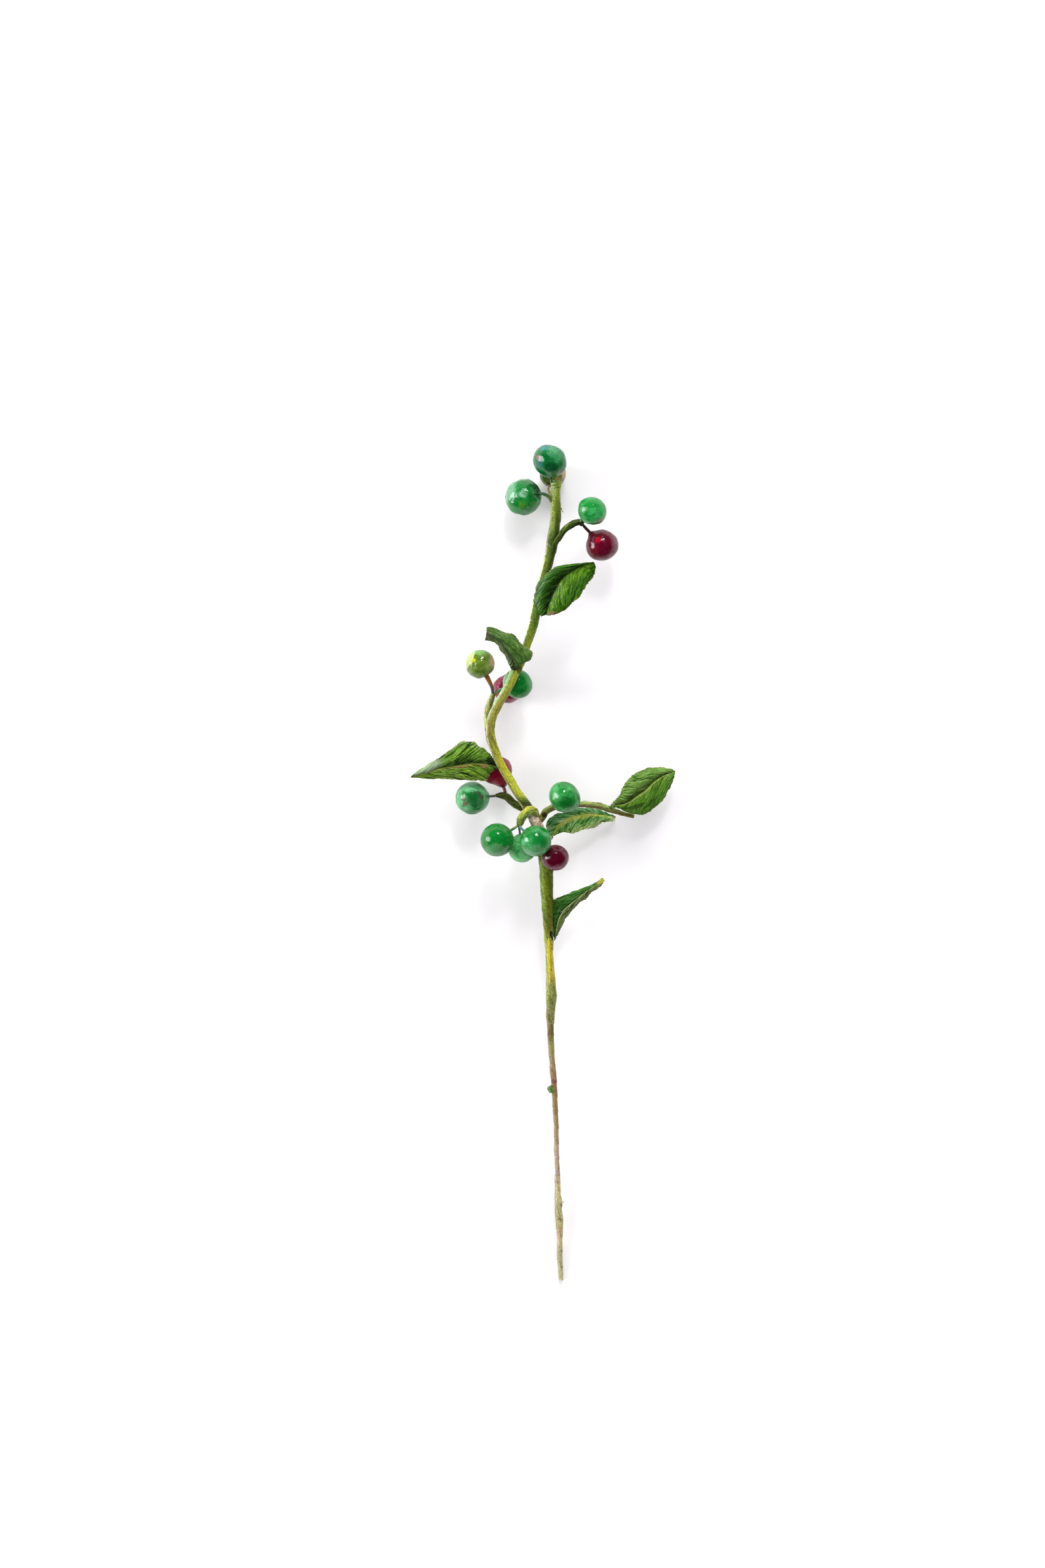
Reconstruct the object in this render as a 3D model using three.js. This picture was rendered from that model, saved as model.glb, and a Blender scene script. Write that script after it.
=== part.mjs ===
// A chokeberry sprig, cut and laid on its side: a bound stem in three lengths, five side twigs,
// six folded leaves, and fifteen berries on short stalks.
// Millimetres. The drawing's own zero is the fork, where the side twigs leave the stem: +X is to
// the right of the sprig, +Y towards its tip, and +Z is height above the surface that it lies on.
import * as THREE from 'three';
import { LoftGeometry } from 'three/addons/geometries/LoftGeometry.js';

// Driving dimensions.
const GAP = 0.3; // left between pieces that touch
const STEM_SIDES = 8;
const TWIG_SIDES = 8;
const STALK_SIDES = 6;
const STALK_STEPS = 4;
const STALK_RADIUS = 0.35;
const BERRY_AROUND = 12;
const BERRY_UP = 8;
const LEAF_THICKNESS = 0.6;
const LEAF_STEPS = 10; // sections along a leaf
const END_SWELL = 0.12; // share of a half turn that a blade's arch has already made at its ends
const STRIP_THICKNESS = 0.5; // a leaf's flat stalk where it is bound along the stem
const STRIP_STEPS = 8;
const SCALE_THICKNESS = 0.3;
const SCALE_STEPS = 4;

const UP = new THREE.Vector3(0, 0, 1);

// Stems and twigs: [x, y, height of the middle, radius], from the cut end outwards.
const STEMS = {
  stem_foot: [
    [8.7, -154, 0.75, 0.75], [8.3, -147, 1.3, 0.8], [8.2, -143, 1.7, 0.9], [8.2, -136, 2.3, 1.1],
    [7.8, -130.5, 2.7, 1.15], [7.6, -125, 3.1, 0.95], [7.5, -117, 3.8, 0.75], [7.1, -106, 4.6, 0.75],
    [6.7, -96, 5.5, 0.8], [6.3, -88, 6.2, 0.9], [5.7, -80.5, 6.8, 0.85], [5.2, -73, 7.4, 0.95],
    [5.1, -68.6, 7.9, 1],
  ],
  stem_lower: [
    [5.1, -68, 7.9, 1.15], [5.2, -62.5, 8.3, 1.45], [5.4, -59, 8.6, 1.75], [5.1, -51.5, 9.2, 1.4],
    [4.7, -44.5, 9.7, 1.15], [4.5, -38.5, 10.3, 1.5], [4.2, -31.5, 10.9, 1.75], [3.9, -24.5, 11.4, 2],
    [3.6, -16, 12.1, 2.2], [2.4, -7.5, 12.8, 2.1], [1.1, -3.3, 13.2, 1.95], [-0.5, 0, 13.6, 1.7],
  ],
  stem_upper: [
    [-0.9, 0.7, 13.7, 1.5], [-2.9, 4.5, 14, 1.5], [-5.8, 8.5, 14.6, 1.35], [-8.4, 13, 15.3, 1.35],
    [-11, 17.2, 16, 1.35], [-12.9, 21.5, 16.8, 1.35], [-14.1, 26, 17.6, 1.35], [-14.7, 30, 18.4, 1.35],
    [-13.9, 34, 19.2, 1.4], [-11.3, 39, 20, 1.4], [-8.7, 43.5, 20.6, 1.4], [-6.4, 48, 20.8, 1.3],
    [-4.6, 51.5, 20.5, 1.25], [-3, 56.5, 19.7, 1.3], [-0.9, 63, 18.4, 1.5], [0.9, 71.5, 16.8, 1.6],
    [2.6, 78, 15.3, 1.6], [4.4, 85, 13.9, 1.6], [5.8, 92, 12.8, 1.85], [6.5, 97, 12, 1.7],
    [6.8, 99.8, 11.6, 1.75], [6.9, 102.5, 11.3, 1.6], [6.7, 104.8, 11.1, 1.6], [6.8, 107, 10.9, 1.5],
    [6.9, 112, 10.5, 1.5],
  ],
};
const TWIGS = {
  twig_top_right: [
    [8.3, 93.2, 14.5, 0.8], [9.2, 94.7, 14.2, 0.9], [10.6, 96.1, 14, 1], [12.1, 97.1, 13.7, 1.05],
    [13.5, 97.7, 13.3, 1], [14.8, 97.9, 12.9, 1], [15.8, 97.2, 12.7, 0.8],
  ],
  twig_bend: [
    [-15.2, 26.4, 15.2, 0.9], [-15.6, 29.2, 15.6, 0.95], [-15.9, 32.5, 15.6, 0.95],
    [-15.7, 35.2, 15.2, 1], [-15, 38, 14.7, 1], [-13.9, 41, 14.2, 0.85],
  ],
  twig_left: [
    [-2.4, 1.7, 11.2, 1], [-3.7, 3, 11.3, 1.1], [-7.1, 5.1, 11, 1.2], [-9.5, 7.2, 10.6, 1.2],
    [-11.3, 7.7, 10.6, 0.95], [-13, 7.6, 10.8, 0.5],
  ],
  twig_middle: [
    [-0.6, 2.6, 16.5, 1], [-1.8, 2.8, 16.9, 1.2], [-3, 2, 17, 1.25], [-4, 0.9, 16.8, 1.3],
    [-4.7, -0.3, 16.4, 1.25], [-5.1, -1.2, 16, 1.1], [-5.3, -1.8, 15.8, 0.6],
  ],
  twig_right: [
    [2.7, 0.9, 12.7, 1.1], [3.6, 2.5, 12.4, 1.05], [6, 3.7, 11.9, 1.05], [9.9, 4.6, 11.2, 1],
    [14.4, 4.8, 10.3, 1], [18, 4.6, 9.4, 1], [21.5, 4.1, 8.6, 1.05], [24.8, 3, 7.7, 0.95],
    [28.8, 1.7, 6.7, 0.7], [32.8, 0.6, 5.6, 0.55],
  ],
};

// Berries: where the middle is, the two half widths seen from above, and the points that the
// stalk runs through from its twig to the berry's skin.
const BERRY_ROUGHNESS = 0.25;
const GREEN = 0x2f9458;
const OLIVE = 0x8f9a3c;
const LIME = 0x8fb060;
const RED = 0x5e0d22;
const BERRIES = {
  tip_front: { at: [4.8, 117.8, 14.5], half: [5.6, 5.6], colour: GREEN, stalk: [[5.4, 111, 12.8]] },
  tip_back: {
    at: [5.9, 114.5, 4.4], half: [4.4, 4.4], colour: OLIVE,
    stalk: [[4.9, 107.8, 9.2], [4.4, 109.3, 7.8]],
  },
  tip_left: {
    at: [-3.9, 106.6, 8.2], half: [6.1, 6.1], colour: GREEN,
    stalk: [[4.7, 106.9, 11.9], [3.3, 107.2, 12.3], [2, 107.5, 12.4]],
  },
  right_green: { at: [18.8, 101.3, 17.5], half: [4.7, 4.6], colour: GREEN, stalk: [[15.6, 98.6, 14.3]] },
  right_red: { at: [22.2, 90.5, 10.5], half: [5.4, 5.2], colour: RED, stalk: [[16.6, 96.3, 12.6]] },
  bend_yellow: {
    at: [-18.1, 50.9, 15.2], half: [4.8, 4.8], colour: LIME,
    stalk: [[-14.1, 41.7, 14.8], [-14.2, 43, 15], [-15, 45, 15.1]],
  },
  bend_red: {
    at: [-9.1, 43.1, 4.8], half: [4.8, 4.8], colour: RED,
    stalk: [[-13.4, 41.6, 12.6], [-12.8, 42.4, 10.6]],
  },
  bend_green: {
    at: [-5.8, 44.5, 14.4], half: [4.9, 4.9], colour: GREEN,
    stalk: [[-12.6, 41.5, 14.3], [-11.8, 42.4, 14.4]],
  },
  side_red: { at: [-12.7, 15.3, 9.1], half: [5.1, 5.1], colour: RED, stalk: [[-10, 9.4, 10.4]] },
  side_green: { at: [-20.7, 6.8, 9.6], half: [5.7, 5.5], colour: GREEN, stalk: [[-13.5, 7.5, 10.8]] },
  fork_left: {
    at: [-12.5, -6.9, 20.2], half: [5.5, 5.5], colour: GREEN,
    stalk: [[-6, -2.4, 16.4], [-7.3, -3.1, 17.7]],
  },
  fork_back: { at: [-4.3, -9.7, 14], half: [4.8, 4.8], colour: GREEN, stalk: [[-5.3, -2.9, 15.1]] },
  fork_front: {
    at: [0.1, -7.2, 23.8], half: [5.2, 5.1], colour: GREEN,
    stalk: [[-4.9, -2.5, 16.9], [-4.5, -3.2, 19]],
  },
  fork_red: { at: [6.6, -12.8, 18.9], half: [4.5, 4.3], colour: RED, stalk: [[3, -8.6, 15.5]] },
  branch_green: { at: [9.7, 7.2, 18.9], half: [5.2, 5.1], colour: GREEN, stalk: [[9.9, 5.2, 12.6]] },
};

// Leaves: the midrib and the two edges, each from the base to the tip, and how far each half
// arches up between the midrib and its edge.
const LEAVES = {
  leaf_top: {
    rib: [
      [3.5, 67, 19.4], [4.5, 70.5, 19.6], [6.5, 75, 20], [9, 79, 20.6], [13, 82, 21.4],
      [19.3, 83.9, 22.2],
    ],
    left: [
      [2, 66.5, 19.3], [0.5, 68.5, 19.9], [-0.5, 72, 19.3], [0, 75.5, 19.4], [4, 81, 20.6],
      [10.5, 83.5, 21.8], [19, 84.2, 22.3],
    ],
    right: [
      [5, 66.8, 19.4], [8, 67.5, 19.7], [13, 71.5, 20.8], [17, 77, 21.4], [20, 81.8, 22],
      [19.6, 83.6, 22.2],
    ],
    arch: [1.6, 0.8],
  },
  leaf_middle: {
    rib: [
      [-6.5, 49, 23.2], [-7.5, 52, 23.9], [-9.5, 55, 24.6], [-11, 57.5, 24.8], [-13.5, 59.5, 24.4],
      [-16, 61, 23.2],
    ],
    left: [
      [-7.3, 49.3, 23], [-9, 51, 22.4], [-10, 53.5, 22], [-11.5, 55, 21.8], [-12.5, 57, 21.6],
      [-16.5, 58.5, 22],
    ],
    right: [
      [-5, 50.2, 23.2], [-2, 51.7, 23.3], [-1, 54.5, 23.2], [-4.5, 57.5, 23.4], [-7, 60.5, 23.4],
      [-13, 62.5, 22.8], [-16, 63, 22.4],
    ],
    arch: [0.4, 0.6],
  },
  leaf_side: {
    rib: [
      [-13.3, 17.5, 15.6], [-17, 18, 16], [-21, 18, 16.2], [-28, 17, 16.2], [-34.5, 15.5, 15.6],
      [-41, 13.6, 14.6],
    ],
    left: [
      [-13.6, 16.5, 15.4], [-14.5, 15, 15.4], [-16.5, 12.6, 15.5], [-23.5, 12.4, 15.6],
      [-34.5, 13, 15], [-41, 13.2, 14.6],
    ],
    right: [
      [-13.7, 18.5, 15.6], [-15.5, 22, 16.4], [-20.5, 25.5, 17.2], [-24, 25.5, 17.2],
      [-31.5, 20.5, 16.5], [-41.3, 13.9, 14.6],
    ],
    arch: [0.3, 0.8],
  },
  leaf_branch: {
    rib: [[25.2, 4.5, 9.2], [29, 4.7, 9.7], [33.5, 7, 9.2], [39.5, 12, 8.4], [46.7, 15.7, 7.2]],
    left: [
      [25.2, 5.1, 9.3], [28, 8, 9.8], [29, 10.5, 9.6], [31, 13, 9.4], [35, 16, 9], [38, 17, 8.6],
      [42.5, 17, 8.1], [46.5, 15.9, 7.2],
    ],
    right: [
      [25.9, 4.1, 9.3], [30, 2.2, 9.3], [36, 1.2, 8.5], [38.5, 2.5, 8.2], [41.5, 5, 8],
      [45.2, 10.5, 7.6], [46.7, 15.3, 7.2],
    ],
    arch: [0.4, 0.5],
  },
  leaf_fork: {
    rib: [
      [5.7, -6, 10.4], [6.5, -4.5, 10.2], [7.5, -2.5, 9.9], [12, 0.5, 8.4], [18, 1.5, 5.9],
      [22.5, 1, 3.5], [27, 0.5, 0.5],
    ],
    left: [
      [5, -5, 10.4], [3.7, -2, 10.2], [6.5, 1.5, 9.4], [12.5, 3.5, 8.1], [17, 3.5, 6.4],
      [21.5, 3, 4.3], [27, 0.8, 0.5],
    ],
    right: [
      [6.3, -6, 10.3], [9.5, -4.8, 9.2], [12.5, -5, 8.4], [18, -3.5, 6.2], [22.5, -1.5, 3.7],
      [26.8, 0.2, 0.5],
    ],
    arch: [0.2, 0.5],
  },
  leaf_low: {
    rib: [
      [6.6, -40.5, 10.4], [7.2, -37, 10.8], [8, -33.5, 11.2], [11, -29, 12], [17, -24, 13.2],
      [22.7, -20, 14.2],
    ],
    left: [
      [6.4, -39.5, 10.2], [6.6, -32.5, 10], [7, -27, 10], [11.5, -24.5, 11], [18, -21.8, 12.6],
      [22.3, -19.7, 14.1],
    ],
    right: [
      [7, -40.3, 10.2], [9.5, -34.5, 9.8], [11.5, -31.5, 10.2], [17, -26.5, 11.4], [21.5, -22.5, 13],
      [23, -20.4, 14.1],
    ],
    arch: [0.3, 0.4],
  },
};

// A leaf's flat stalk, bound along a stem: which stem, the stretch counted in the stem's points,
// the direction that it lies in round the stem (0 is the sprig's left, 90 is up) and its width at
// the two ends, and how far its outer end stands away to the left.
const BOUND_STALKS = {
  leaf_stalk_middle: { on: 'stem_upper', stretch: [6.6, 10.6], degrees: [28, 52], width: [1, 2.4], stand: 1 },
  leaf_stalk_side: { on: 'stem_upper', stretch: [1, 4.1], degrees: [18, 28], width: [0.9, 1.6], stand: 0 },
  leaf_stalk_low: { on: 'stem_lower', stretch: [1.7, 4.9], degrees: [72, 88], width: [1.1, 2.3], stand: 0 },
};
// The short round stalk that holds the leaf at the fork, and the small scale left on the foot.
const LEAF_STALK_FORK = [[4.7, -6.9, 12.1, 0.4], [5.2, -6.7, 11.4, 0.4], [5.5, -6.4, 11.1, 0.35]];
const SCALE = {
  rib: [[5.2, -88.5, 7.3], [5.4, -89.8, 7.5], [5.8, -91.1, 7.5]],
  left: [[5.5, -88.5, 7.4], [6.3, -89.8, 7.6], [6.4, -91.2, 7.6]],
  right: [[5.1, -88.5, 7.1], [4, -89.4, 6.8], [4.2, -90.3, 6.7], [4.9, -91.2, 6.8]],
  arch: [0.1, 0.2],
};

const vector = ([x, y, z]) => new THREE.Vector3(x, y, z);
const curveThrough = (points) => new THREE.CatmullRomCurve3(points.map(vector), false, 'centripetal');

function material(colour, roughness) {
  return new THREE.MeshStandardMaterial({ color: colour, roughness, metalness: 0 });
}
const BARK = material(0x6f7a2c, 0.6);
const LEAF_PAPER = material(0x3c6b26, 0.5);
const STALK_PAINT = material(0x4e6a3a, 0.45);

// The direction along a path at share t, the sprig's left across it, and the lift out of it.
function frameAt(curve, t) {
  const along = curve.getTangent(t);
  const left = new THREE.Vector3().crossVectors(UP, along).normalize();
  const lift = new THREE.Vector3().crossVectors(along, left);
  return { middle: curve.getPoint(t), along, left, lift };
}

// The point at a distance from a path's middle, in a direction round it: 0 is its left.
function besides(middle, left, lift, distance, turn) {
  return middle.clone()
    .addScaledVector(left, distance * Math.cos(turn))
    .addScaledVector(lift, distance * Math.sin(turn));
}

// Radius at share t of a path whose points carry a radius each.
function radiusAt(path, t) {
  const place = t * (path.length - 1);
  const before = Math.min(Math.floor(place), path.length - 2);
  return THREE.MathUtils.lerp(path[before][3], path[before + 1][3], place - before);
}

// A round rod whose thickness follows its path, with a section at each of its points.
function taperedRod(path, sides) {
  const curve = curveThrough(path);
  const last = path.length - 1;
  const sections = path.map((point, i) => {
    const { middle, left, lift } = frameAt(curve, i / last);
    const ring = [];
    for (let k = 0; k < sides; k++) {
      const turn = (2 * Math.PI * k) / sides;
      ring.push(besides(middle, left, lift, point[3], turn));
    }
    return ring;
  });
  return new LoftGeometry(sections, { capStart: true, capEnd: true });
}

// A thin curved blade: each section runs over the top from the left edge across the midrib to the
// right edge, and back underneath.
function blade({ rib, left, right, arch }, thickness, steps) {
  const [ribLine, leftLine, rightLine] = [rib, left, right].map(curveThrough);
  const sections = [];
  for (let i = 0; i <= steps; i++) {
    const share = i / steps;
    const middle = ribLine.getPointAt(share);
    const leftEdge = leftLine.getPointAt(share);
    const rightEdge = rightLine.getPointAt(share);
    const across = rightEdge.clone().sub(leftEdge).normalize();
    const out = new THREE.Vector3().crossVectors(across, ribLine.getTangentAt(share)).normalize();
    const swell = Math.sin(Math.PI * THREE.MathUtils.lerp(END_SWELL, 1 - END_SWELL, share));
    const leftHalf = leftEdge.clone().lerp(middle, 0.5).addScaledVector(out, arch[0] * swell);
    const rightHalf = rightEdge.clone().lerp(middle, 0.5).addScaledVector(out, arch[1] * swell);
    const top = [leftEdge, leftHalf, middle, rightHalf, rightEdge];
    const underside = top.map((point) => point.clone().addScaledVector(out, -thickness)).reverse();
    sections.push([...top, ...underside]);
  }
  return new LoftGeometry(sections, { capStart: true, capEnd: true });
}

// A flat strip that lies along a stem, GAP off its skin or further where it stands away.
function boundStrip({ on, stretch, degrees, width, stand }) {
  const path = STEMS[on];
  const curve = curveThrough(path);
  const sections = [];
  for (let i = 0; i <= STRIP_STEPS; i++) {
    const share = i / STRIP_STEPS;
    const between = ([first, last]) => THREE.MathUtils.lerp(first, last, share);
    const t = between(stretch) / (path.length - 1);
    const { middle, left, lift } = frameAt(curve, t);
    middle.addScaledVector(left, stand * Math.max(0, 2 * share - 1));
    const inner = radiusAt(path, t) + GAP;
    const outer = inner + STRIP_THICKNESS;
    const halfAngle = between(width) / 2 / inner;
    const turn = THREE.MathUtils.degToRad(between(degrees));
    const turns = [turn - halfAngle, turn, turn + halfAngle];
    const over = turns.map((angle) => besides(middle, left, lift, outer, angle));
    const under = turns.map((angle) => besides(middle, left, lift, inner, angle)).reverse();
    sections.push([...over, ...under]);
  }
  return new LoftGeometry(sections, { capStart: true, capEnd: true });
}

// The half height of a berry is the mean of its two half widths.
const berryHeight = ([wide, long]) => (wide + long) / 2;

// A stalk through its points, which ends GAP short of the berry's skin.
function stalkGeometry({ at, half, stalk }) {
  const middle = vector(at);
  const last = vector(stalk[stalk.length - 1]);
  const towards = middle.clone().sub(last);
  const reach = Math.max(half[0], half[1]) + GAP;
  const end = middle.clone().addScaledVector(towards.normalize(), -reach);
  const path = new THREE.CatmullRomCurve3([...stalk.map(vector), end], false, 'centripetal');
  const section = new THREE.Shape();
  for (let k = 0; k < STALK_SIDES; k++) {
    const turn = (2 * Math.PI * k) / STALK_SIDES;
    const corner = [STALK_RADIUS * Math.cos(turn), STALK_RADIUS * Math.sin(turn)];
    if (k === 0) section.moveTo(...corner);
    else section.lineTo(...corner);
  }
  return new THREE.ExtrudeGeometry(section, { steps: STALK_STEPS, extrudePath: path, curveSegments: 1 });
}

const sprig = new THREE.Group();
function add(parent, name, geometry, finish) {
  const mesh = new THREE.Mesh(geometry, finish);
  mesh.name = name;
  parent.add(mesh);
  return mesh;
}

const woodwork = new THREE.Group();
for (const [name, path] of Object.entries(STEMS)) {
  add(woodwork, name, taperedRod(path, STEM_SIDES), BARK);
}
for (const [name, path] of Object.entries(TWIGS)) {
  add(woodwork, name, taperedRod(path, TWIG_SIDES), BARK);
}
sprig.add(woodwork);

const foliage = new THREE.Group();
for (const [name, outline] of Object.entries(LEAVES)) {
  add(foliage, name, blade(outline, LEAF_THICKNESS, LEAF_STEPS), LEAF_PAPER);
}
for (const [name, strip] of Object.entries(BOUND_STALKS)) {
  add(foliage, name, boundStrip(strip), BARK);
}
add(foliage, 'leaf_stalk_fork', taperedRod(LEAF_STALK_FORK, STALK_SIDES), BARK);
add(foliage, 'bud_scale', blade(SCALE, SCALE_THICKNESS, SCALE_STEPS), BARK);
sprig.add(foliage);

const fruit = new THREE.Group();
for (const [name, berry] of Object.entries(BERRIES)) {
  const ball = new THREE.SphereGeometry(1, BERRY_AROUND, BERRY_UP);
  const skin = add(fruit, `berry_${name}`, ball, material(berry.colour, BERRY_ROUGHNESS));
  skin.position.set(...berry.at);
  skin.scale.set(berry.half[0], berry.half[1], berryHeight(berry.half));
  add(fruit, `stalk_${name}`, stalkGeometry(berry), STALK_PAINT);
}
sprig.add(fruit);

// The part's origin is the middle of its box, at the level of the surface.
const box = new THREE.Box3().setFromObject(sprig, true);
const middle = box.getCenter(new THREE.Vector3());
for (const child of sprig.children) child.position.set(-middle.x, -middle.y, -box.min.z);

export default sprig;
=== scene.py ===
"""Builds the finished look of a hand-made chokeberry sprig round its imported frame.

The sprig lies on a pale floor and is seen from above. Its shapes are measured in millimetres from
the fork, where the side twigs leave the stem: +X to the right, +Y towards the tip, +Z up.
"""
import math

import bpy
from bpy.props import FloatProperty, FloatVectorProperty, IntProperty, PointerProperty
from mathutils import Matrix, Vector


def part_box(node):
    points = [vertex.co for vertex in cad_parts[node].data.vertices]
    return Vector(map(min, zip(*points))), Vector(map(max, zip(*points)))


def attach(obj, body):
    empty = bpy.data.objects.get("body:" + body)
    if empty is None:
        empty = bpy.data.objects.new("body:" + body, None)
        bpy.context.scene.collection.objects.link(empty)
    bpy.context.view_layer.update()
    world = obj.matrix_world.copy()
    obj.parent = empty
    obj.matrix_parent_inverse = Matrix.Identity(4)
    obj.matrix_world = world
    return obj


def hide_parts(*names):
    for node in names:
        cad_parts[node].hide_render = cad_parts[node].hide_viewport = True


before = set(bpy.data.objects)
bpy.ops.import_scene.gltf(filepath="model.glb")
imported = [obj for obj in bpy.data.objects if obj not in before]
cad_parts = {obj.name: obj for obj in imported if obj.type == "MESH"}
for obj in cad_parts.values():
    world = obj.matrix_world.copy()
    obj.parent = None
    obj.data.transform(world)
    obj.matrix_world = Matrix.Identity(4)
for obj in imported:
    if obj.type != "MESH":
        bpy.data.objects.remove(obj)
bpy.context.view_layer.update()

bl_info = {
    "name": "Chokeberry Sprig",
    "version": (1, 0, 0),
    "blender": (4, 5, 0),
    "location": "3D View > Sidebar > Sprig",
    "description": "Builds a hand-made chokeberry sprig: bound stem, pleated leaves, painted berries",
    "category": "Add Mesh",
}

MM = 0.001
BODY = "root"

# How steeply a berry's bulges fall off, how high they stand as a share of its radius, and the
# distance in metres below which two points are one.
BULGE_STEEPNESS, BULGE_HEIGHT = 3.2, 0.1
SAME_POINT = 1e-7
# Heights of the fine bumps in the paints, in metres.
BARK_GRAIN, LEAF_GRAIN, BERRY_RIPPLE, STALK_GRAIN = 0.00009, 0.00016, 0.00022, 0.00008
# Millimetres between the points along a stem, a twig, a berry stalk, a thread, a flat stalk and the
# two smallest pieces, and the points round a thin rod.
STEM_STEP, TWIG_STEP, STALK_STEP, THREAD_STEP, STRIP_STEP, SMALL_STEP = 0.22, 0.2, 0.12, 0.08, 0.15, 0.1
FORK_STALK_SIDES, STALK_SIDES, THREAD_SIDES = 28, 24, 12
# Columns of faces on each side of the middle of a flat stalk, the fewest of them in a leaf, and the
# segments and rings of the ball that becomes a berry.
STRIP_HALF_COLUMNS, LEAST_HALF_COLUMNS = 8, 6
BERRY_SEGMENTS, BERRY_RINGS = 96, 64
# Millimetres by which a flat stalk clears the stem's skin, and by which its edges come back to it,
# and the share of its width that its foot never tapers below.
STRIP_LIFT, STRIP_HUG, STRIP_START = 0.16, 0.14, 0.35
# How far into its swell a leaf begins, and how fast the step at its midrib fades outwards.
BASE_SWELL, LAP_FADE = 0.08, 5
STALK_END = 0.82  # how far out from a berry's middle its stalk ends, as a share of its radius
OLIVE_RED = 60  # a green berry whose deep paint has more red than this is an olive one
BUD_SEED, FORK_STALK_SEED = 5.0, 3.0

# The frame's own place for the fork: one berry's middle, measured both ways.
FORK_FRONT_BERRY = Vector((0.1, -7.2, 23.8))


def middle_of(node):
    """The middle of a frame node's box, in metres."""
    low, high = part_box(node)
    return (low + high) / 2


FORK = middle_of("berry_fork_front") - FORK_FRONT_BERRY * MM


def place(x, y, z):
    """A point given in millimetres from the fork, in metres in the frame."""
    return FORK + Vector((x, y, z)) * MM


def tone(red, green, blue):
    """A linear colour from display values between 0 and 255."""
    def linear(value):
        share = value / 255
        return share / 12.92 if share <= 0.04045 else ((share + 0.055) / 1.055) ** 2.4
    return (linear(red), linear(green), linear(blue), 1.0)


# ---------------------------------------------------------------- shapes, in millimetres

# Rods: x, y, height of the middle and radius, from the root outwards. The first points of a twig
# lie inside the stem that it leaves.
STEMS = {
    "stem_foot": [
        (8.7, -154, 0.75, 0.7), (8.5, -150, 1.05, 0.7), (8.3, -147, 1.3, 0.8), (8.2, -143, 1.7, 0.88),
        (8.3, -140.5, 1.9, 0.75), (8.2, -136, 2.3, 1.08), (8, -133, 2.5, 1.2), (7.8, -130.5, 2.7, 1.1),
        (7.8, -127.8, 2.9, 1.2), (7.6, -125, 3.1, 0.94), (7.5, -120, 3.5, 0.87), (7.5, -117, 3.8, 0.7),
        (7.2, -111.5, 4.2, 0.74), (7.1, -106, 4.6, 0.72), (7, -101, 5, 0.74), (6.7, -96, 5.5, 0.8),
        (6.6, -93.3, 5.7, 0.82), (6.3, -88, 6.2, 0.92), (5.9, -83, 6.6, 0.93), (5.7, -80.5, 6.8, 0.82),
        (5.5, -78, 7, 0.9), (5.2, -73, 7.4, 0.98), (5.1, -68.5, 7.9, 1.02), (5.1, -66.8, 8, 0.95),
    ],
    "stem_lower": [
        (5.1, -68.2, 7.9, 1.12), (5.1, -65.2, 8.1, 1.37), (5.2, -62.5, 8.3, 1.44), (5.4, -59, 8.6, 1.77),
        (5.3, -56.5, 8.8, 1.66), (5.2, -54, 9, 1.52), (5.1, -51.5, 9.2, 1.38), (4.8, -46.8, 9.5, 1.27),
        (4.7, -44.5, 9.7, 1.15), (4.6, -41.5, 10, 1.45), (4.5, -38.5, 10.3, 1.5),
        (4.2, -31.5, 10.9, 1.75), (3.9, -24.5, 11.4, 2), (3.8, -21.7, 11.6, 2.1), (3.7, -18.8, 11.9, 2.2),
        (3.6, -16, 12.1, 2.2), (2.4, -7.5, 12.8, 2.1), (1.1, -3.3, 13.2, 1.95), (-0.5, 0, 13.6, 1.7),
    ],
    "stem_upper": [
        (0.2, -1, 13.5, 1.5), (-0.9, 0.7, 13.7, 1.55), (-2.9, 4.5, 14, 1.5), (-5.8, 8.5, 14.6, 1.35),
        (-8.4, 13, 15.3, 1.35), (-11, 17.2, 16, 1.35), (-12.9, 21.5, 16.8, 1.35), (-14.3, 26, 17.6, 1.37),
        (-14.7, 30, 18.4, 1.35), (-13.9, 34, 19.2, 1.4), (-11.3, 39, 20, 1.4), (-8.7, 43.5, 20.6, 1.4),
        (-6.4, 48, 20.8, 1.3), (-4.6, 51.5, 20.5, 1.25), (-3, 56.5, 19.7, 1.3), (-1.6, 60.8, 18.8, 1.45),
        (-0.9, 63, 18.4, 1.5), (0.9, 71.5, 16.8, 1.6), (2.6, 78, 15.3, 1.6), (4.4, 85, 13.9, 1.55),
        (5.3, 89, 13.2, 1.75), (5.8, 92, 12.8, 1.85), (6.5, 97, 12, 1.7), (6.8, 99.8, 11.6, 1.74),
        (6.9, 102.5, 11.3, 1.6), (6.7, 104.8, 11.1, 1.6), (6.8, 107, 10.9, 1.5), (6.9, 109.2, 10.7, 1.5),
        (6.9, 110.6, 10.6, 1.75), (6.9, 111.5, 10.5, 1.5), (6.9, 112, 10.5, 0.7),
    ],
}
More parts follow.
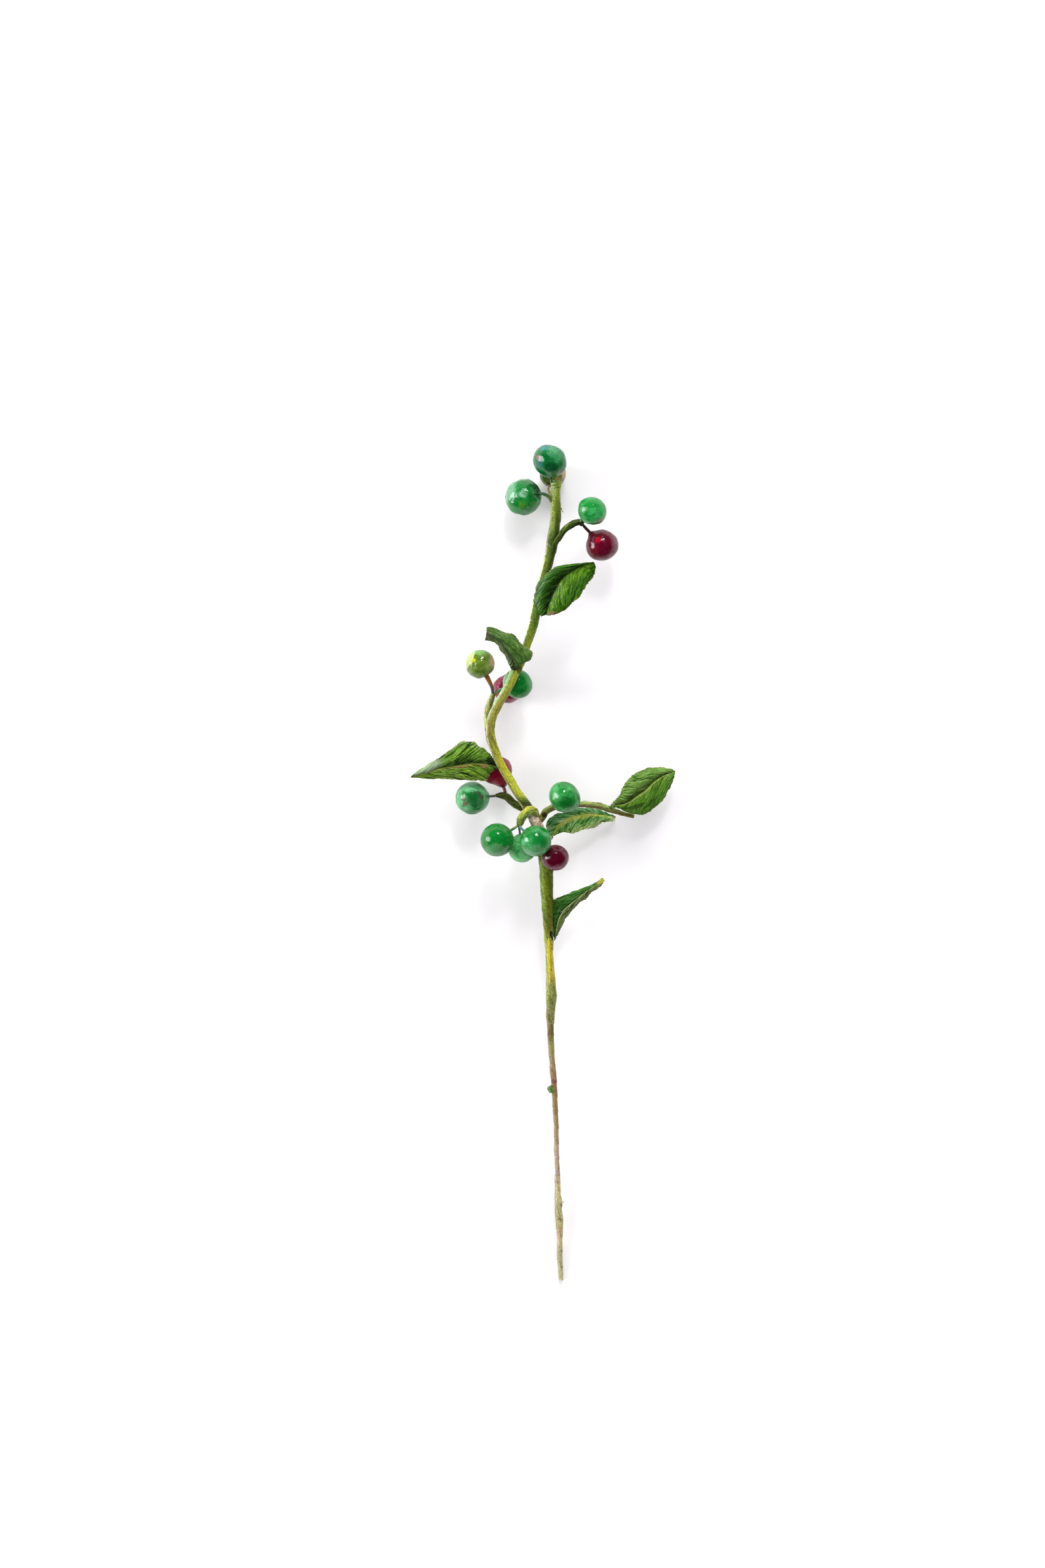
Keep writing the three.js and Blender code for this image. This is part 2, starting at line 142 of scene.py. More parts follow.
TWIGS = {
    "twig_top_right": [
        (5.4, 88.5, 13.9, 0.9), (7, 91.5, 14.3, 0.9), (8.2, 93.1, 14.3, 0.9), (9.2, 94.7, 14.2, 0.94),
        (10.6, 96.1, 14, 1), (12.1, 97.1, 13.7, 1.08), (13.5, 97.7, 13.3, 1.02), (14.8, 97.9, 12.9, 1),
        (15.8, 97.2, 12.7, 0.8),
    ],
    "twig_bend": [
        (-14.2, 23, 15.6, 0.8), (-15.2, 26.4, 15.2, 0.9), (-15.6, 29.2, 15.6, 0.95),
        (-15.9, 32.5, 15.6, 0.95), (-15.7, 35.2, 15.2, 1), (-15, 38, 14.7, 1), (-13.9, 41, 14.2, 0.85),
    ],
    "twig_left": [
        (-1, 0.2, 12.4, 1), (-2.4, 1.7, 11.6, 1.05), (-3.7, 3, 11.3, 1.1), (-7.1, 5.1, 11, 1.18),
        (-9.5, 7.2, 10.6, 1.18), (-11.3, 7.7, 10.6, 0.98), (-13, 7.6, 10.8, 0.5),
    ],
    "twig_middle": [
        (0.4, 0.6, 13.6, 0.9), (0.1, 1.8, 14.5, 1.05), (-0.7, 2.7, 15.6, 1.2), (-1.8, 2.8, 16.3, 1.3),
        (-3, 2, 16.6, 1.35), (-4, 0.9, 16.6, 1.35), (-4.7, -0.3, 16.3, 1.3), (-5.1, -1.3, 16, 1.2),
        (-5.3, -1.9, 15.7, 1),
    ],
    "twig_right": [
        (1.3, -0.8, 13, 1.1), (2.7, 0.9, 12.7, 1.1), (3.6, 2.5, 12.4, 1.05), (6, 3.7, 11.9, 1.05),
        (9.9, 4.6, 11.2, 1), (14.4, 4.8, 10.3, 1), (18, 4.6, 9.4, 1), (21.5, 4.1, 8.6, 1.05),
        (24.8, 3, 7.7, 0.95), (28.8, 1.7, 6.7, 0.7), (32.8, 0.6, 5.6, 0.55),
    ],
}
# What differs from the shared handwork. The twig that crosses over the fork is folded, with deeper
# creases and lumps than the others.
FORK_STALK_BINDING = {"Wrap Step": 0.00004, "Crease Depth": 0.0001, "Lump Height": 0.00008}
STALK_BINDING = {
    "Wrap Step": 0.00003, "Crease Depth": 0.00012, "Lump Height": 0.00014, "Wrap Pitch": 0.002,
}
THREAD_BINDING = {"Wrap Step": 0.0, "Crease Depth": 0.00003, "Lump Height": 0.00006}
STRIP_PAPER = {"Pleat Depth": 0.00012, "Ragged Edge": 0.00015, "Buckle": 0.0002, "Pleat Width": 0.5}
BUD_PAPER = {"Pleat Depth": 0.0001, "Ragged Edge": 0.0002, "Buckle": 0.0001}
STRIP_GRAIN = (5, 5)
FOLDED_TWIG = {"Crease Depth": 0.0009, "Crease Count": 1.6, "Lump Height": 0.0008, "Lump Size": 520.0}
LEAF_STALK_FORK = [
    (2.8, -7.6, 12.8, 0.45), (4.7, -6.9, 12.1, 0.4), (5.2, -6.7, 11.4, 0.4), (5.7, -6.1, 10.5, 0.35),
]

# Loose ends of paper and thread: x, y, height and radius, then the colour at each end.
LOOSE_ENDS = {
    "frayed_paper": (
        [
            (7.8, 101, 11.9, 0.25), (8.3, 102, 12, 0.34), (8.6, 102.6, 12, 0.24), (8.8, 102.1, 12, 0.1),
            (9, 101.6, 11.9, 0.09), (9.3, 101.3, 11.9, 0.17),
        ],
        (146, 150, 96), (110, 64, 36),
    ),
    "hooked_thread": (
        [
            (8.6, -128.3, 3.2, 0.07), (9.2, -128, 3.2, 0.08), (9.5, -127.6, 3.2, 0.08),
            (9.8, -127.9, 3.2, 0.06),
        ],
        (160, 156, 116), (140, 136, 96),
    ),
    "red_thread": (
        [
            (7.3, -137.9, 2.3, 0.08), (7.6, -137.6, 3.1, 0.1), (8.2, -137.2, 3.3, 0.11),
            (8.9, -136.7, 3, 0.1), (9.2, -136.2, 2.4, 0.08),
        ],
        (226, 150, 140), (216, 128, 118),
    ),
}

# Berry stalks: the points between the twig and the berry's skin, and the radius at each end.
BERRY_STALKS = {
    "tip_front": ([(5.4, 111, 12.8)], 0.45, 0.4),
    "tip_back": ([(4.9, 107.8, 9.2), (4.4, 109.3, 7.8)], 0.4, 0.35),
    "tip_left": ([(6, 104.4, 11.3), (4.8, 106.2, 11.9), (3.4, 107, 12.3), (2, 107.4, 12.4)], 0.8, 0.3),
    "right_green": ([(14.9, 98, 13.8), (15.6, 98.6, 14.3)], 0.5, 0.5),
    "right_red": ([(15.6, 97.3, 12.9), (16.5, 96.2, 12.6)], 0.45, 0.55),
    "bend_yellow": ([(-14, 40.6, 14.4), (-14.2, 43, 15), (-15, 45, 15.1)], 0.42, 0.85),
    "bend_red": ([(-13.9, 40.8, 13.9), (-13.4, 41.6, 12.6), (-12.8, 42.4, 10.6)], 0.35, 0.35),
    "bend_green": ([(-13.6, 40.9, 14.2), (-12.6, 41.5, 14.3), (-11.8, 42.4, 14.4)], 0.4, 0.4),
    "side_red": ([(-9.8, 7.6, 10.6), (-10.1, 9.4, 10.4)], 0.52, 0.55),
    "side_green": ([(-12.9, 7.6, 10.8), (-13.5, 7.5, 10.8)], 0.42, 0.42),
    "fork_left": ([(-5.3, -1.6, 15.9), (-6.1, -2.6, 16.4), (-7.4, -3.4, 17.7)], 0.42, 0.4),
    "fork_back": ([(-5.3, -1.8, 15.6), (-5.3, -2.9, 15.1)], 0.4, 0.35),
    "fork_front": ([(-5.1, -1.6, 15.9), (-4.9, -2.5, 16.9), (-4.5, -3.2, 19)], 0.44, 0.4),
    "fork_red": ([(2.4, -7.2, 13.4), (3, -8.6, 15.5)], 0.4, 0.4),
    "branch_green": ([(9.9, 4.8, 11.4), (9.9, 5.2, 12.6)], 0.45, 0.45),
}

# Leaves: midrib and edges from base to tip. arch lifts the middle of each half, lap lifts the left
# half over the right one at the midrib, grain is the angle of the pleats to the midrib in degrees.
LEAVES = {
    "leaf_top": {
        "rib": [
            (3.5, 67, 19), (4.5, 70.5, 19.3), (6.5, 75, 19.9), (9, 79, 20.6), (13, 82, 21.4),
            (16.5, 83.5, 21.8), (19.3, 83.9, 22.2),
        ],
        "left": [
            (2, 66.5, 18.6), (0.5, 68.5, 18.9), (-0.5, 72, 18.5), (0, 75.5, 18.4), (1.5, 78.5, 19.2),
            (4, 81, 20.4), (6.5, 82.5, 21.2), (10.5, 83.5, 22.2), (15.5, 84, 22.4), (19, 84.2, 22.3),
        ],
        "right": [
            (5, 66.8, 19.2), (8, 67.5, 19.6), (10.5, 69, 20.4), (13, 71.5, 20.8), (15, 73.5, 21),
            (17, 77, 21.4), (18.5, 78.5, 21.7), (20, 82, 22), (19.6, 83.6, 22.2),
        ],
        "arch": (1.6, 0.8), "lap": 0.0, "grain": (32, 28),
    },
    "leaf_middle": {
        "rib": [
            (-6.9, 48.6, 22.3), (-7.5, 52, 23.7), (-9.5, 55, 24.6), (-11, 57.5, 24.8),
            (-13.5, 59.5, 24.4), (-16, 61, 23.2),
        ],
        "left": [
            (-8, 49.2, 22.3), (-9, 51, 22.4), (-10, 53.5, 22), (-11.5, 55, 21.8), (-12.5, 57, 21.6),
            (-14, 58, 21.6), (-16.5, 58.5, 22),
        ],
        "right": [
            (-5.4, 49.6, 22.1), (-3, 51.5, 23.1), (-1.5, 52, 23.2), (-1, 54.5, 23.2), (-4.5, 57.5, 23.4),
            (-7, 60.5, 23.4), (-10, 61, 23.2), (-13, 62.5, 22.8), (-16, 63, 22.4),
        ],
        "arch": (0.1, 0.9), "lap": 0.0, "grain": (34, 14),
    },
    "leaf_side": {
        "rib": [
            (-12.1, 17.2, 15.8), (-17, 18, 16), (-21, 18, 16.2), (-24, 17.5, 16.3), (-28, 17, 16.2),
            (-31.5, 16.5, 16), (-34.5, 15.5, 15.6), (-38, 14.5, 15), (-41, 13.6, 14.6),
        ],
        "left": [
            (-12.7, 16.4, 15.7), (-14.5, 15, 15.4), (-16, 12.6, 15.5), (-19.5, 12.5, 15.6),
            (-23.5, 12.5, 15.6), (-29, 13, 15.4), (-34.5, 13, 15), (-39, 13.5, 14.6),
        ],
        "right": [
            (-12.9, 18.6, 15.8), (-14.5, 21, 16), (-15.5, 22, 16.4), (-17, 23.5, 16.8), (-18.5, 24, 17),
            (-20.5, 25.5, 17.2), (-24, 25.5, 17.2), (-27, 23.5, 17), (-31.5, 20.5, 16.5),
            (-36, 17.5, 15.8), (-40, 15, 15), (-41.1, 13.8, 14.6),
        ],
        "arch": (0.4, 0.8), "lap": 0.4, "grain": (20, 34),
    },
    "leaf_branch": {
        "rib": [
            (24.4, 3.5, 8.4), (26, 4.5, 9.1), (29, 4.6, 9.6), (31.5, 5.5, 9.4), (33.5, 7, 9.2),
            (36.5, 9, 8.9), (39.5, 12, 8.4), (42.5, 14, 7.9), (46.5, 15.7, 7.2),
        ],
        "left": [
            (24.2, 3.9, 8.4), (26, 5.6, 9.3), (28, 8, 9.8), (29, 10.5, 9.6), (31, 13, 9.4), (33, 15, 9.2),
            (35, 16, 9), (38, 17, 8.6), (42.5, 17, 8.1), (45, 16.5, 7.7), (46.3, 15.9, 7.2),
        ],
        "right": [
            (24.8, 3.3, 8.4), (27, 3.5, 9.3), (30, 2.1, 9.2), (32.5, 1.5, 8.8), (36, 1.1, 8.4),
            (38.5, 2.5, 8.2), (41.5, 5, 8), (43.5, 7.5, 7.8), (45, 10.5, 7.6), (46, 13, 7.4),
            (46.5, 15.4, 7.2),
        ],
        "arch": (0.5, 0.6), "lap": 0.0, "grain": (28, 28),
    },
    "leaf_fork": {
        "rib": [
            (5.5, -6, 10.4), (6.5, -4.5, 10.2), (7.5, -2.5, 9.9), (9.5, -1, 9.3), (12, 0.5, 8.4),
            (15, 1, 7.4), (18, 1.5, 5.9), (22.5, 1, 3.5), (26.8, 0.5, 0.8),
        ],
        "left": [
            (4, -4, 10.3), (3.6, -2, 10.2), (4, -0.5, 10), (6.5, 1.5, 9.5), (8.5, 2, 9), (12.5, 3.5, 8.1),
            (17, 3.5, 6.4), (21.5, 3, 4.3), (25, 1.5, 2.2), (26.8, 0.8, 0.8),
        ],
        "right": [
            (8, -5, 9.7), (9.5, -4.6, 9.2), (12.5, -5, 8.4), (15.5, -4, 7.3), (18, -3.5, 6.2),
            (20, -3, 5.2), (22.5, -1.5, 3.7), (26, -1, 1.6), (26.8, 0.2, 0.8),
        ],
        "arch": (0.2, 0.5), "lap": 0.0, "grain": (30, 30),
    },
    "leaf_low": {
        "rib": [
            (6.4, -40.5, 10.4), (7, -37, 10.8), (7.8, -33.5, 11.2), (9.5, -30.5, 11.6), (11, -29, 12),
            (14, -26.5, 12.6), (17, -24, 13.2), (20, -22, 13.7), (22.6, -20, 14.2),
        ],
        "left": [
            (6, -38.5, 10), (5.4, -32.5, 10), (5.4, -27.6, 10), (8, -26, 10.4), (11.5, -24.5, 11),
            (15, -23, 11.8), (18, -22, 12.6), (22.2, -19.6, 14),
        ],
        "right": [
            (7, -39.5, 9.8), (8.5, -36.5, 9.7), (9.5, -34.5, 9.8), (10.5, -32.5, 10), (11.5, -31.5, 10.2),
            (14.5, -28, 10.9), (17, -26.5, 11.4), (18.5, -24.5, 12), (21.5, -22.5, 13), (23, -20.5, 14.1),
        ],
        "arch": (0.3, 0.4), "lap": 0.0, "grain": (22, 22),
    },
}
BUD_SCALE = {
    "rib": [(5.2, -88.5, 7.1), (5.4, -89.8, 7.35), (5.8, -91.1, 7.3)],
    "left": [(5.5, -88.5, 7.1), (6.3, -89.8, 7.25), (6.4, -91.2, 7.2)],
    "right": [(5.1, -88.5, 6.9), (3.95, -89.4, 6.6), (4.2, -90.3, 6.5), (4.9, -91.2, 6.6)],
    "arch": (0.1, 0.2), "lap": 0.0, "grain": (12, 12),
}

# Flat leaf stalks bound along a stem: the stem, the stretch as shares of its points, the angle
# round it (0 is the sprig's left, 90 is up) and the width, both from its foot to its top, how far its
# top stands off the stem, and the share of its width that its top keeps.
BOUND_STALKS = {
    "leaf_stalk_middle": {
        "on": "stem_upper", "reach": (0.3, 0.5), "turn": (28, 56), "width": (1, 2.6), "stand": 1.3,
        "tip": 1.0,
    },
    "leaf_stalk_side": {
        "on": "stem_upper", "reach": (0.035, 0.165), "turn": (18, 30), "width": (0.9, 1.6), "stand": 0.0,
        "tip": 0.6,
    },
    "leaf_stalk_low": {
        "on": "stem_lower", "reach": (0.19, 0.42), "turn": (72, 88), "width": (0.8, 2.3), "stand": 0.0,
        "tip": 0.2,
    },
}


# ---------------------------------------------------------------- paths and surfaces

def between_four(a, b, c, d, t):
    """The value at a share t of the way from b to c on a smooth curve through four values."""
    bend, twist = 2 * a - 5 * b + 4 * c - d, 3 * b - a - 3 * c + d
    return 0.5 * (2 * b + (c - a) * t + bend * t * t + twist * t ** 3)


def smooth(points, step):
    """Points of any width, joined by a smooth curve and taken again every step along it."""
    rows = [tuple(2 * a - b for a, b in zip(points[0], points[1])), *points]
    rows.append(tuple(2 * a - b for a, b in zip(points[-1], points[-2])))
    dense = []
    pieces_per_span = 24
    for p0, p1, p2, p3 in zip(rows, rows[1:], rows[2:], rows[3:]):
        for i in range(pieces_per_span):
            t = i / pieces_per_span
            dense.append([between_four(*values, t) for values in zip(p0, p1, p2, p3)])
    dense.append(list(points[-1]))
    lengths = [0.0]
    for before, after in zip(dense, dense[1:]):
        lengths.append(lengths[-1] + math.dist(before[:3], after[:3]))
    count = max(2, round(lengths[-1] / step) + 1)
    taken = []
    place_in_dense = 0
    for i in range(count):
        wanted = lengths[-1] * i / (count - 1)
        while place_in_dense < len(lengths) - 2 and lengths[place_in_dense + 1] < wanted:
            place_in_dense += 1
        span = lengths[place_in_dense + 1] - lengths[place_in_dense]
        t = (wanted - lengths[place_in_dense]) / span if span else 0.0
        before, after = dense[place_in_dense], dense[place_in_dense + 1]
        taken.append([a + (b - a) * t for a, b in zip(before, after)])
    return taken


def path_length(points):
    """The length of a path of points, in the points' own unit."""
    return sum(math.dist(a[:3], b[:3]) for a, b in zip(points, points[1:]))


def add_values(mesh, **values):
    """Stores a value for each vertex: numbers, or vectors of three."""
    for name, column in values.items():
        kind = "FLOAT" if isinstance(column[0], (int, float)) else "FLOAT_VECTOR"
        layer = mesh.attributes.new(name, kind, "POINT")
        if kind == "FLOAT":
            layer.data.foreach_set("value", column)
        else:
            layer.data.foreach_set("vector", [v for row in column for v in row])


def path_mesh(name, points, step):
    """A line of vertices along a rod's path, with its thickness and the way along it."""
    taken = smooth(points, step)
    mesh = bpy.data.meshes.new(name)
    edges = [(i, i + 1) for i in range(len(taken) - 1)]
    mesh.from_pydata([place(x, y, z) for x, y, z, _ in taken], edges, [])
    last = len(taken) - 1
    total = path_length(taken) * MM
    add_values(
        mesh,
        thick=[row[3] * MM for row in taken],
        share=[i / last for i in range(last + 1)],
        along=[total * i / last for i in range(last + 1)],
    )
    return mesh


def sheet_mesh(name, rows, half_columns):
    """A sheet from rows of points across it, each point with the values that its pleats need."""
    mesh = bpy.data.meshes.new(name)
    across = 2 * half_columns + 1
    flat = [p for row in rows for p in row]
    faces = []
    for i in range(len(rows) - 1):
        for k in range(across - 1):
            corner = i * across + k
            faces.append((corner, corner + 1, corner + across + 1, corner + across))
    mesh.from_pydata([p["at"] for p in flat], [], faces)
    columns = {key: [p[key] for p in flat] for key in ("way", "off", "across", "share")}
    add_values(mesh, **columns, outward=[tuple(p["outward"]) for p in flat])
    return mesh


def leaf_mesh(name, leaf, spacing):
    """A leaf's folded sheet, from the base to the tip."""
    rib_rows = smooth(leaf["rib"], spacing)
    count = len(rib_rows)
    edges = []
    for side in ("left", "right"):
        length = path_length(smooth(leaf[side], spacing))
        rows = smooth(leaf[side], length / (count - 1))
        rows = [rows[min(i, len(rows) - 1)] for i in range(count)]
        edges.append([place(*row) for row in rows])
    ribs = [place(*row) for row in rib_rows]
    length = path_length(rib_rows)
    widest = max((edge[i] - ribs[i]).length for edge in edges for i in range(count)) / MM
    half_columns = max(LEAST_HALF_COLUMNS, round(widest / spacing))
    rows = []
    for i, rib in enumerate(ribs):
        share = i / (count - 1)
        ahead = ribs[min(i + 1, count - 1)] - ribs[max(i - 1, 0)]
        normal = (edges[1][i] - edges[0][i]).cross(ahead).normalized()
        swell = math.sin(math.pi * min(1.0, BASE_SWELL + (1 - BASE_SWELL) * share)) ** 0.7
        row = []
        for k in range(-half_columns, half_columns + 1):
            side = 0 if k < 0 else 1
            amount = abs(k) / half_columns
            outward = edges[side][i] - rib
            rise = leaf["arch"][side] * swell * math.sin(math.pi * amount) * MM
            lap = leaf["lap"] if k < 0 else -leaf["lap"] if k > 0 else 0
            step = lap * swell * math.exp(-amount * LAP_FADE) * MM
            row.append({
                "at": rib + outward * amount + normal * (rise + step),
                "way": length * share,
                "off": outward.length * amount / MM,
                "across": k / half_columns,
                "share": share,
                "outward": outward.normalized(),
            })
        rows.append(row)
    return sheet_mesh(name, rows, half_columns)


def strip_mesh(name, strip, spacing):
    """A flat stalk that lies on a stem's skin."""
    def between(pair, share):
        return pair[0] + (pair[1] - pair[0]) * share

    path = smooth(STEMS[strip["on"]], spacing)
    first, last = (round(share * (len(path) - 1)) for share in strip["reach"])
    length = path_length(path[first:last + 1])
    rows = []
    for i in range(first, last + 1):
        share = (i - first) / (last - first)
        middle, radius = Vector(path[i][:3]), path[i][3]
        ahead = (Vector(path[i + 1][:3]) - Vector(path[i - 1][:3])).normalized()
        left = Vector((0, 0, 1)).cross(ahead).normalized()
        lift = ahead.cross(left)
        turn = math.radians(between(strip["turn"], share))
        foot = STRIP_START + (1 - STRIP_START) * math.sin(math.pi * min(share * 3 + 0.1, 0.5))
        width = between(strip["width"], share) * foot
        width *= 1 - (1 - strip["tip"]) * max(0.0, share * 4 - 3) ** 1.5
        outer = radius + STRIP_LIFT
        aside = left * (strip["stand"] * max(0.0, share * 2 - 1) ** 1.2)
        row = []
        for k in range(-STRIP_HALF_COLUMNS, STRIP_HALF_COLUMNS + 1):
            angle = turn + width / 2 * k / STRIP_HALF_COLUMNS / outer
            out = left * math.cos(angle) + lift * math.sin(angle)
            hug = STRIP_HUG * (k / STRIP_HALF_COLUMNS) ** 4
            row.append({
                "at": place(*(middle + aside + out * (outer - hug))),
                "way": length * share,
                "off": abs(k) / STRIP_HALF_COLUMNS * width / 2,
                "across": k / STRIP_HALF_COLUMNS,
                "share": share,
                "outward": lift * math.cos(angle) - left * math.sin(angle) if k > 0
                else left * math.sin(angle) - lift * math.cos(angle),
            })
        rows.append(row)
    return sheet_mesh(name, rows, STRIP_HALF_COLUMNS)


# ---------------------------------------------------------------- node trees

def sum_node(operation, swapped=False):
    """An operator between values that adds the node for one sum."""
    def result(self, other):
        return self.graph.math(operation, *((other, self) if swapped else (self, other)))
    return result


class Value:
    """A node's output, which can be added, taken away, multiplied and divided like a number."""

    __add__, __radd__ = sum_node("ADD"), sum_node("ADD", True)
    __sub__, __rsub__ = sum_node("SUBTRACT"), sum_node("SUBTRACT", True)
    __mul__, __rmul__ = sum_node("MULTIPLY"), sum_node("MULTIPLY", True)
    __truediv__ = sum_node("DIVIDE")

    def __init__(self, graph, socket):
        self.graph, self.socket = graph, socket

    def __abs__(self):
        return self.graph.math("ABSOLUTE", self)


class Graph:
    """Adds nodes to a tree and joins them."""

    node_gap = 180

    def __init__(self, tree):
        self.tree = tree
        self.reach = 0
        self.seed = 0.0

    def feed(self, socket, value):
        """Joins a value to an input, or sets the input to a constant."""
        if isinstance(value, Value):
            self.tree.links.new(value.socket, socket)
        else:
            socket.default_value = value

    def add(self, kind, inputs=None, **settings):
        """A node with its settings, and each input either joined to a value or given a constant."""
        node = self.tree.nodes.new(kind)
        self.reach += self.node_gap
        node.location.x = self.reach
        for key, value in settings.items():
            setattr(node, key, value)
        for key, value in (inputs or {}).items():
            self.feed(node.inputs[key], value)
        return node

    def get(self, kind, inputs=None, output=0, **settings):
        """One output of a new node."""
        return Value(self, self.add(kind, inputs, **settings).outputs[output])

    def math(self, operation, a, b=0.0):
        """The result of one sum."""
        return self.get("ShaderNodeMath", {0: a, 1: b}, operation=operation)

    def vector(self, operation, a, b=(0, 0, 0)):
        """A vector result, or a number for a dot product or a length."""
        output = "Value" if operation in ("DOT_PRODUCT", "LENGTH") else "Vector"
        return self.get("ShaderNodeVectorMath", {0: a, 1: b}, output, operation=operation)

    def scaled(self, vector, amount):
        """A vector times a number."""
        return self.get("ShaderNodeVectorMath", {0: vector, "Scale": amount}, operation="SCALE")

    def span(self, value, low, high, to_low=0.0, to_high=1.0, kind="SMOOTHSTEP"):
        """A value taken from one range to another, held at its ends."""
        ends = {"From Min": low, "From Max": high, "To Min": to_low, "To Max": to_high}
        return self.get("ShaderNodeMapRange", {"Value": value, **ends}, interpolation_type=kind)

    def noise(self, vector, scale, detail=2.0, roughness=0.5, shift=0, distortion=0.0):
        """Noise between 0 and 1, from the graph's own seed and a shift of it."""
        seed = self.seed + shift if shift else self.seed
        return self.get(
            "ShaderNodeTexNoise",
            {"Vector": vector, "Scale": scale, "Detail": detail, "Roughness": roughness, "W": seed,
             "Distortion": distortion},
            noise_dimensions="4D",
        )

    def join(self, x, y, z):
        """A vector from three numbers."""
        return self.get("ShaderNodeCombineXYZ", {0: x, 1: y, 2: z})

    def part(self, vector, axis):
        """One of a vector's three numbers."""
        return self.get("ShaderNodeSeparateXYZ", {0: vector}, axis)

    def mix(self, factor, a, b, blend="MIX"):
        """One colour over another."""
        return self.get("ShaderNodeMix", {0: factor, 6: a, 7: b}, 2, data_type="RGBA", blend_type=blend)

    def over(self, colour, mask, paint):
        """A paint in display values laid over a colour where the mask says."""
        return self.mix(mask, colour, tone(*paint))

    def times(self, colour, amount, blue=1.0):
        """A colour made lighter or darker, with a share of its blue."""
        return self.mix(1.0, colour, self.join(amount, amount, amount * blue), "MULTIPLY")


SOCKETS = {
    "float": "NodeSocketFloat", "int": "NodeSocketInt", "vector": "NodeSocketVector",
    "colour": "NodeSocketColor", "geometry": "NodeSocketGeometry", "material": "NodeSocketMaterial",
}


def new_tree(name, kind, inputs, outputs):
    """An empty node tree with named inputs and outputs: its graph and its input values."""
    tree = bpy.data.node_groups.new(name, kind)
    for label, form, value in inputs:
        socket = tree.interface.new_socket(name=label, in_out="INPUT", socket_type=SOCKETS[form])
        if value is not None:
            socket.default_value = value
    for label, form in outputs:
        tree.interface.new_socket(name=label, in_out="OUTPUT", socket_type=SOCKETS[form])
    graph = Graph(tree)
    given = graph.add("NodeGroupInput").outputs
    values = {label: Value(graph, given[label]) for label, _, _ in inputs}
    graph.seed = values["Seed"]
    return graph, values


def read(graph, name, form="FLOAT"):
    """A value stored on the mesh, inside a geometry tree."""
    return graph.get("GeometryNodeInputNamedAttribute", {"Name": name}, "Attribute", data_type=form)


def store(graph, geometry, name, value, form="FLOAT"):
    """Stores a value on each vertex of the geometry."""
    stored = {"Geometry": geometry, "Name": name, "Value": value}
    return graph.get("GeometryNodeStoreNamedAttribute", stored, data_type=form, domain="POINT")


def finish_tree(graph, geometry, material):
    """The end of every tree here: plain geometry, smooth, with its material."""
    real = graph.get("GeometryNodeRealizeInstances", {0: geometry})
    shaded = graph.get("GeometryNodeSetShadeSmooth", {0: real})
    coated = graph.get("GeometryNodeSetMaterial", {"Geometry": shaded, "Material": material})
    graph.add("NodeGroupOutput", {0: coated})


def bound_rod_tree():
    """A rod along a line of vertices, bound in a paper strip that winds round it and creases."""
    graph, given = new_tree("bound rod", "GeometryNodeTree", [
        ("Path", "geometry", None), ("Sides", "int", 40), ("Wrap Pitch", "float", 0.006),
        ("Wrap Step", "float", 0.0001), ("Crease Depth", "float", 0.0001), ("Crease Count", "float", 5.0),
        ("Crease Twist", "float", 120.0), ("Lump Height", "float", 0.0001), ("Lump Size", "float", 300.0),
        ("Seed", "float", 1.0), ("Material", "material", None),
    ], [("Mesh", "geometry")])
    curve = graph.get("GeometryNodeMeshToCurve", {"Mesh": given["Path"]})
    position = graph.get("GeometryNodeInputPosition")
    curve = store(graph, curve, "centre", position, "FLOAT_VECTOR")
    curve = store(graph, curve, "run", graph.get("GeometryNodeInputTangent"), "FLOAT_VECTOR")
    ring = graph.get(
        "GeometryNodeCurvePrimitiveCircle", {"Resolution": given["Sides"], "Radius": 1.0}, "Curve",
    )
    index = graph.get("GeometryNodeInputIndex")
    ring = store(graph, ring, "around", index / given["Sides"])
    skin = graph.get(
        "GeometryNodeCurveToMesh",
        {"Curve": curve, "Profile Curve": ring, "Scale": read(graph, "thick"), "Fill Caps": True},
    )
    out = graph.vector(
        "NORMALIZE", graph.vector("SUBTRACT", position, read(graph, "centre", "FLOAT_VECTOR")),
    )
    along, around = read(graph, "along"), read(graph, "around")
    turns = along / given["Wrap Pitch"] + around
    wobble = graph.noise(graph.join(along, 0.0, 0.0), 260.0, 1.0)
    turns = turns + wobble * 0.5
    saw = graph.math("FRACT", turns)
    lift = graph.span(saw, 0.0, 0.07) * (1 - saw * 0.9)
    wrap = lift * given["Wrap Step"]
    angle = around * (2 * math.pi) + along * given["Crease Twist"]
    stretch = along * 130
    streak_at = graph.join(
        graph.math("COSINE", angle) * given["Crease Count"],
        graph.math("SINE", angle) * given["Crease Count"], stretch,
    )
    crease = graph.noise(streak_at, 1.0, 3.0, 0.6)
    creased = (crease - 0.5) * given["Crease Depth"]
    lump = graph.noise(position, given["Lump Size"], 1.0)
    lumped = (lump - 0.5) * given["Lump Height"]
    rise = wrap + creased + lumped
    skin = store(graph, skin, "crease", crease)
    skin_at = graph.join(graph.math("COSINE", angle), graph.math("SINE", angle), along / MM)
    skin = store(graph, skin, "skin", skin_at, "FLOAT_VECTOR")
    skin = store(graph, skin, "saw", saw)
    sideways = graph.vector(
        "NORMALIZE", graph.vector("CROSS_PRODUCT", (0, 0, 1), read(graph, "run", "FLOAT_VECTOR")),
    )
    skin = store(graph, skin, "left", graph.vector("DOT_PRODUCT", out, sideways))
    skin = graph.get("GeometryNodeSetPosition", {"Geometry": skin, "Offset": graph.scaled(out, rise)})
    finish_tree(graph, skin, given["Material"])


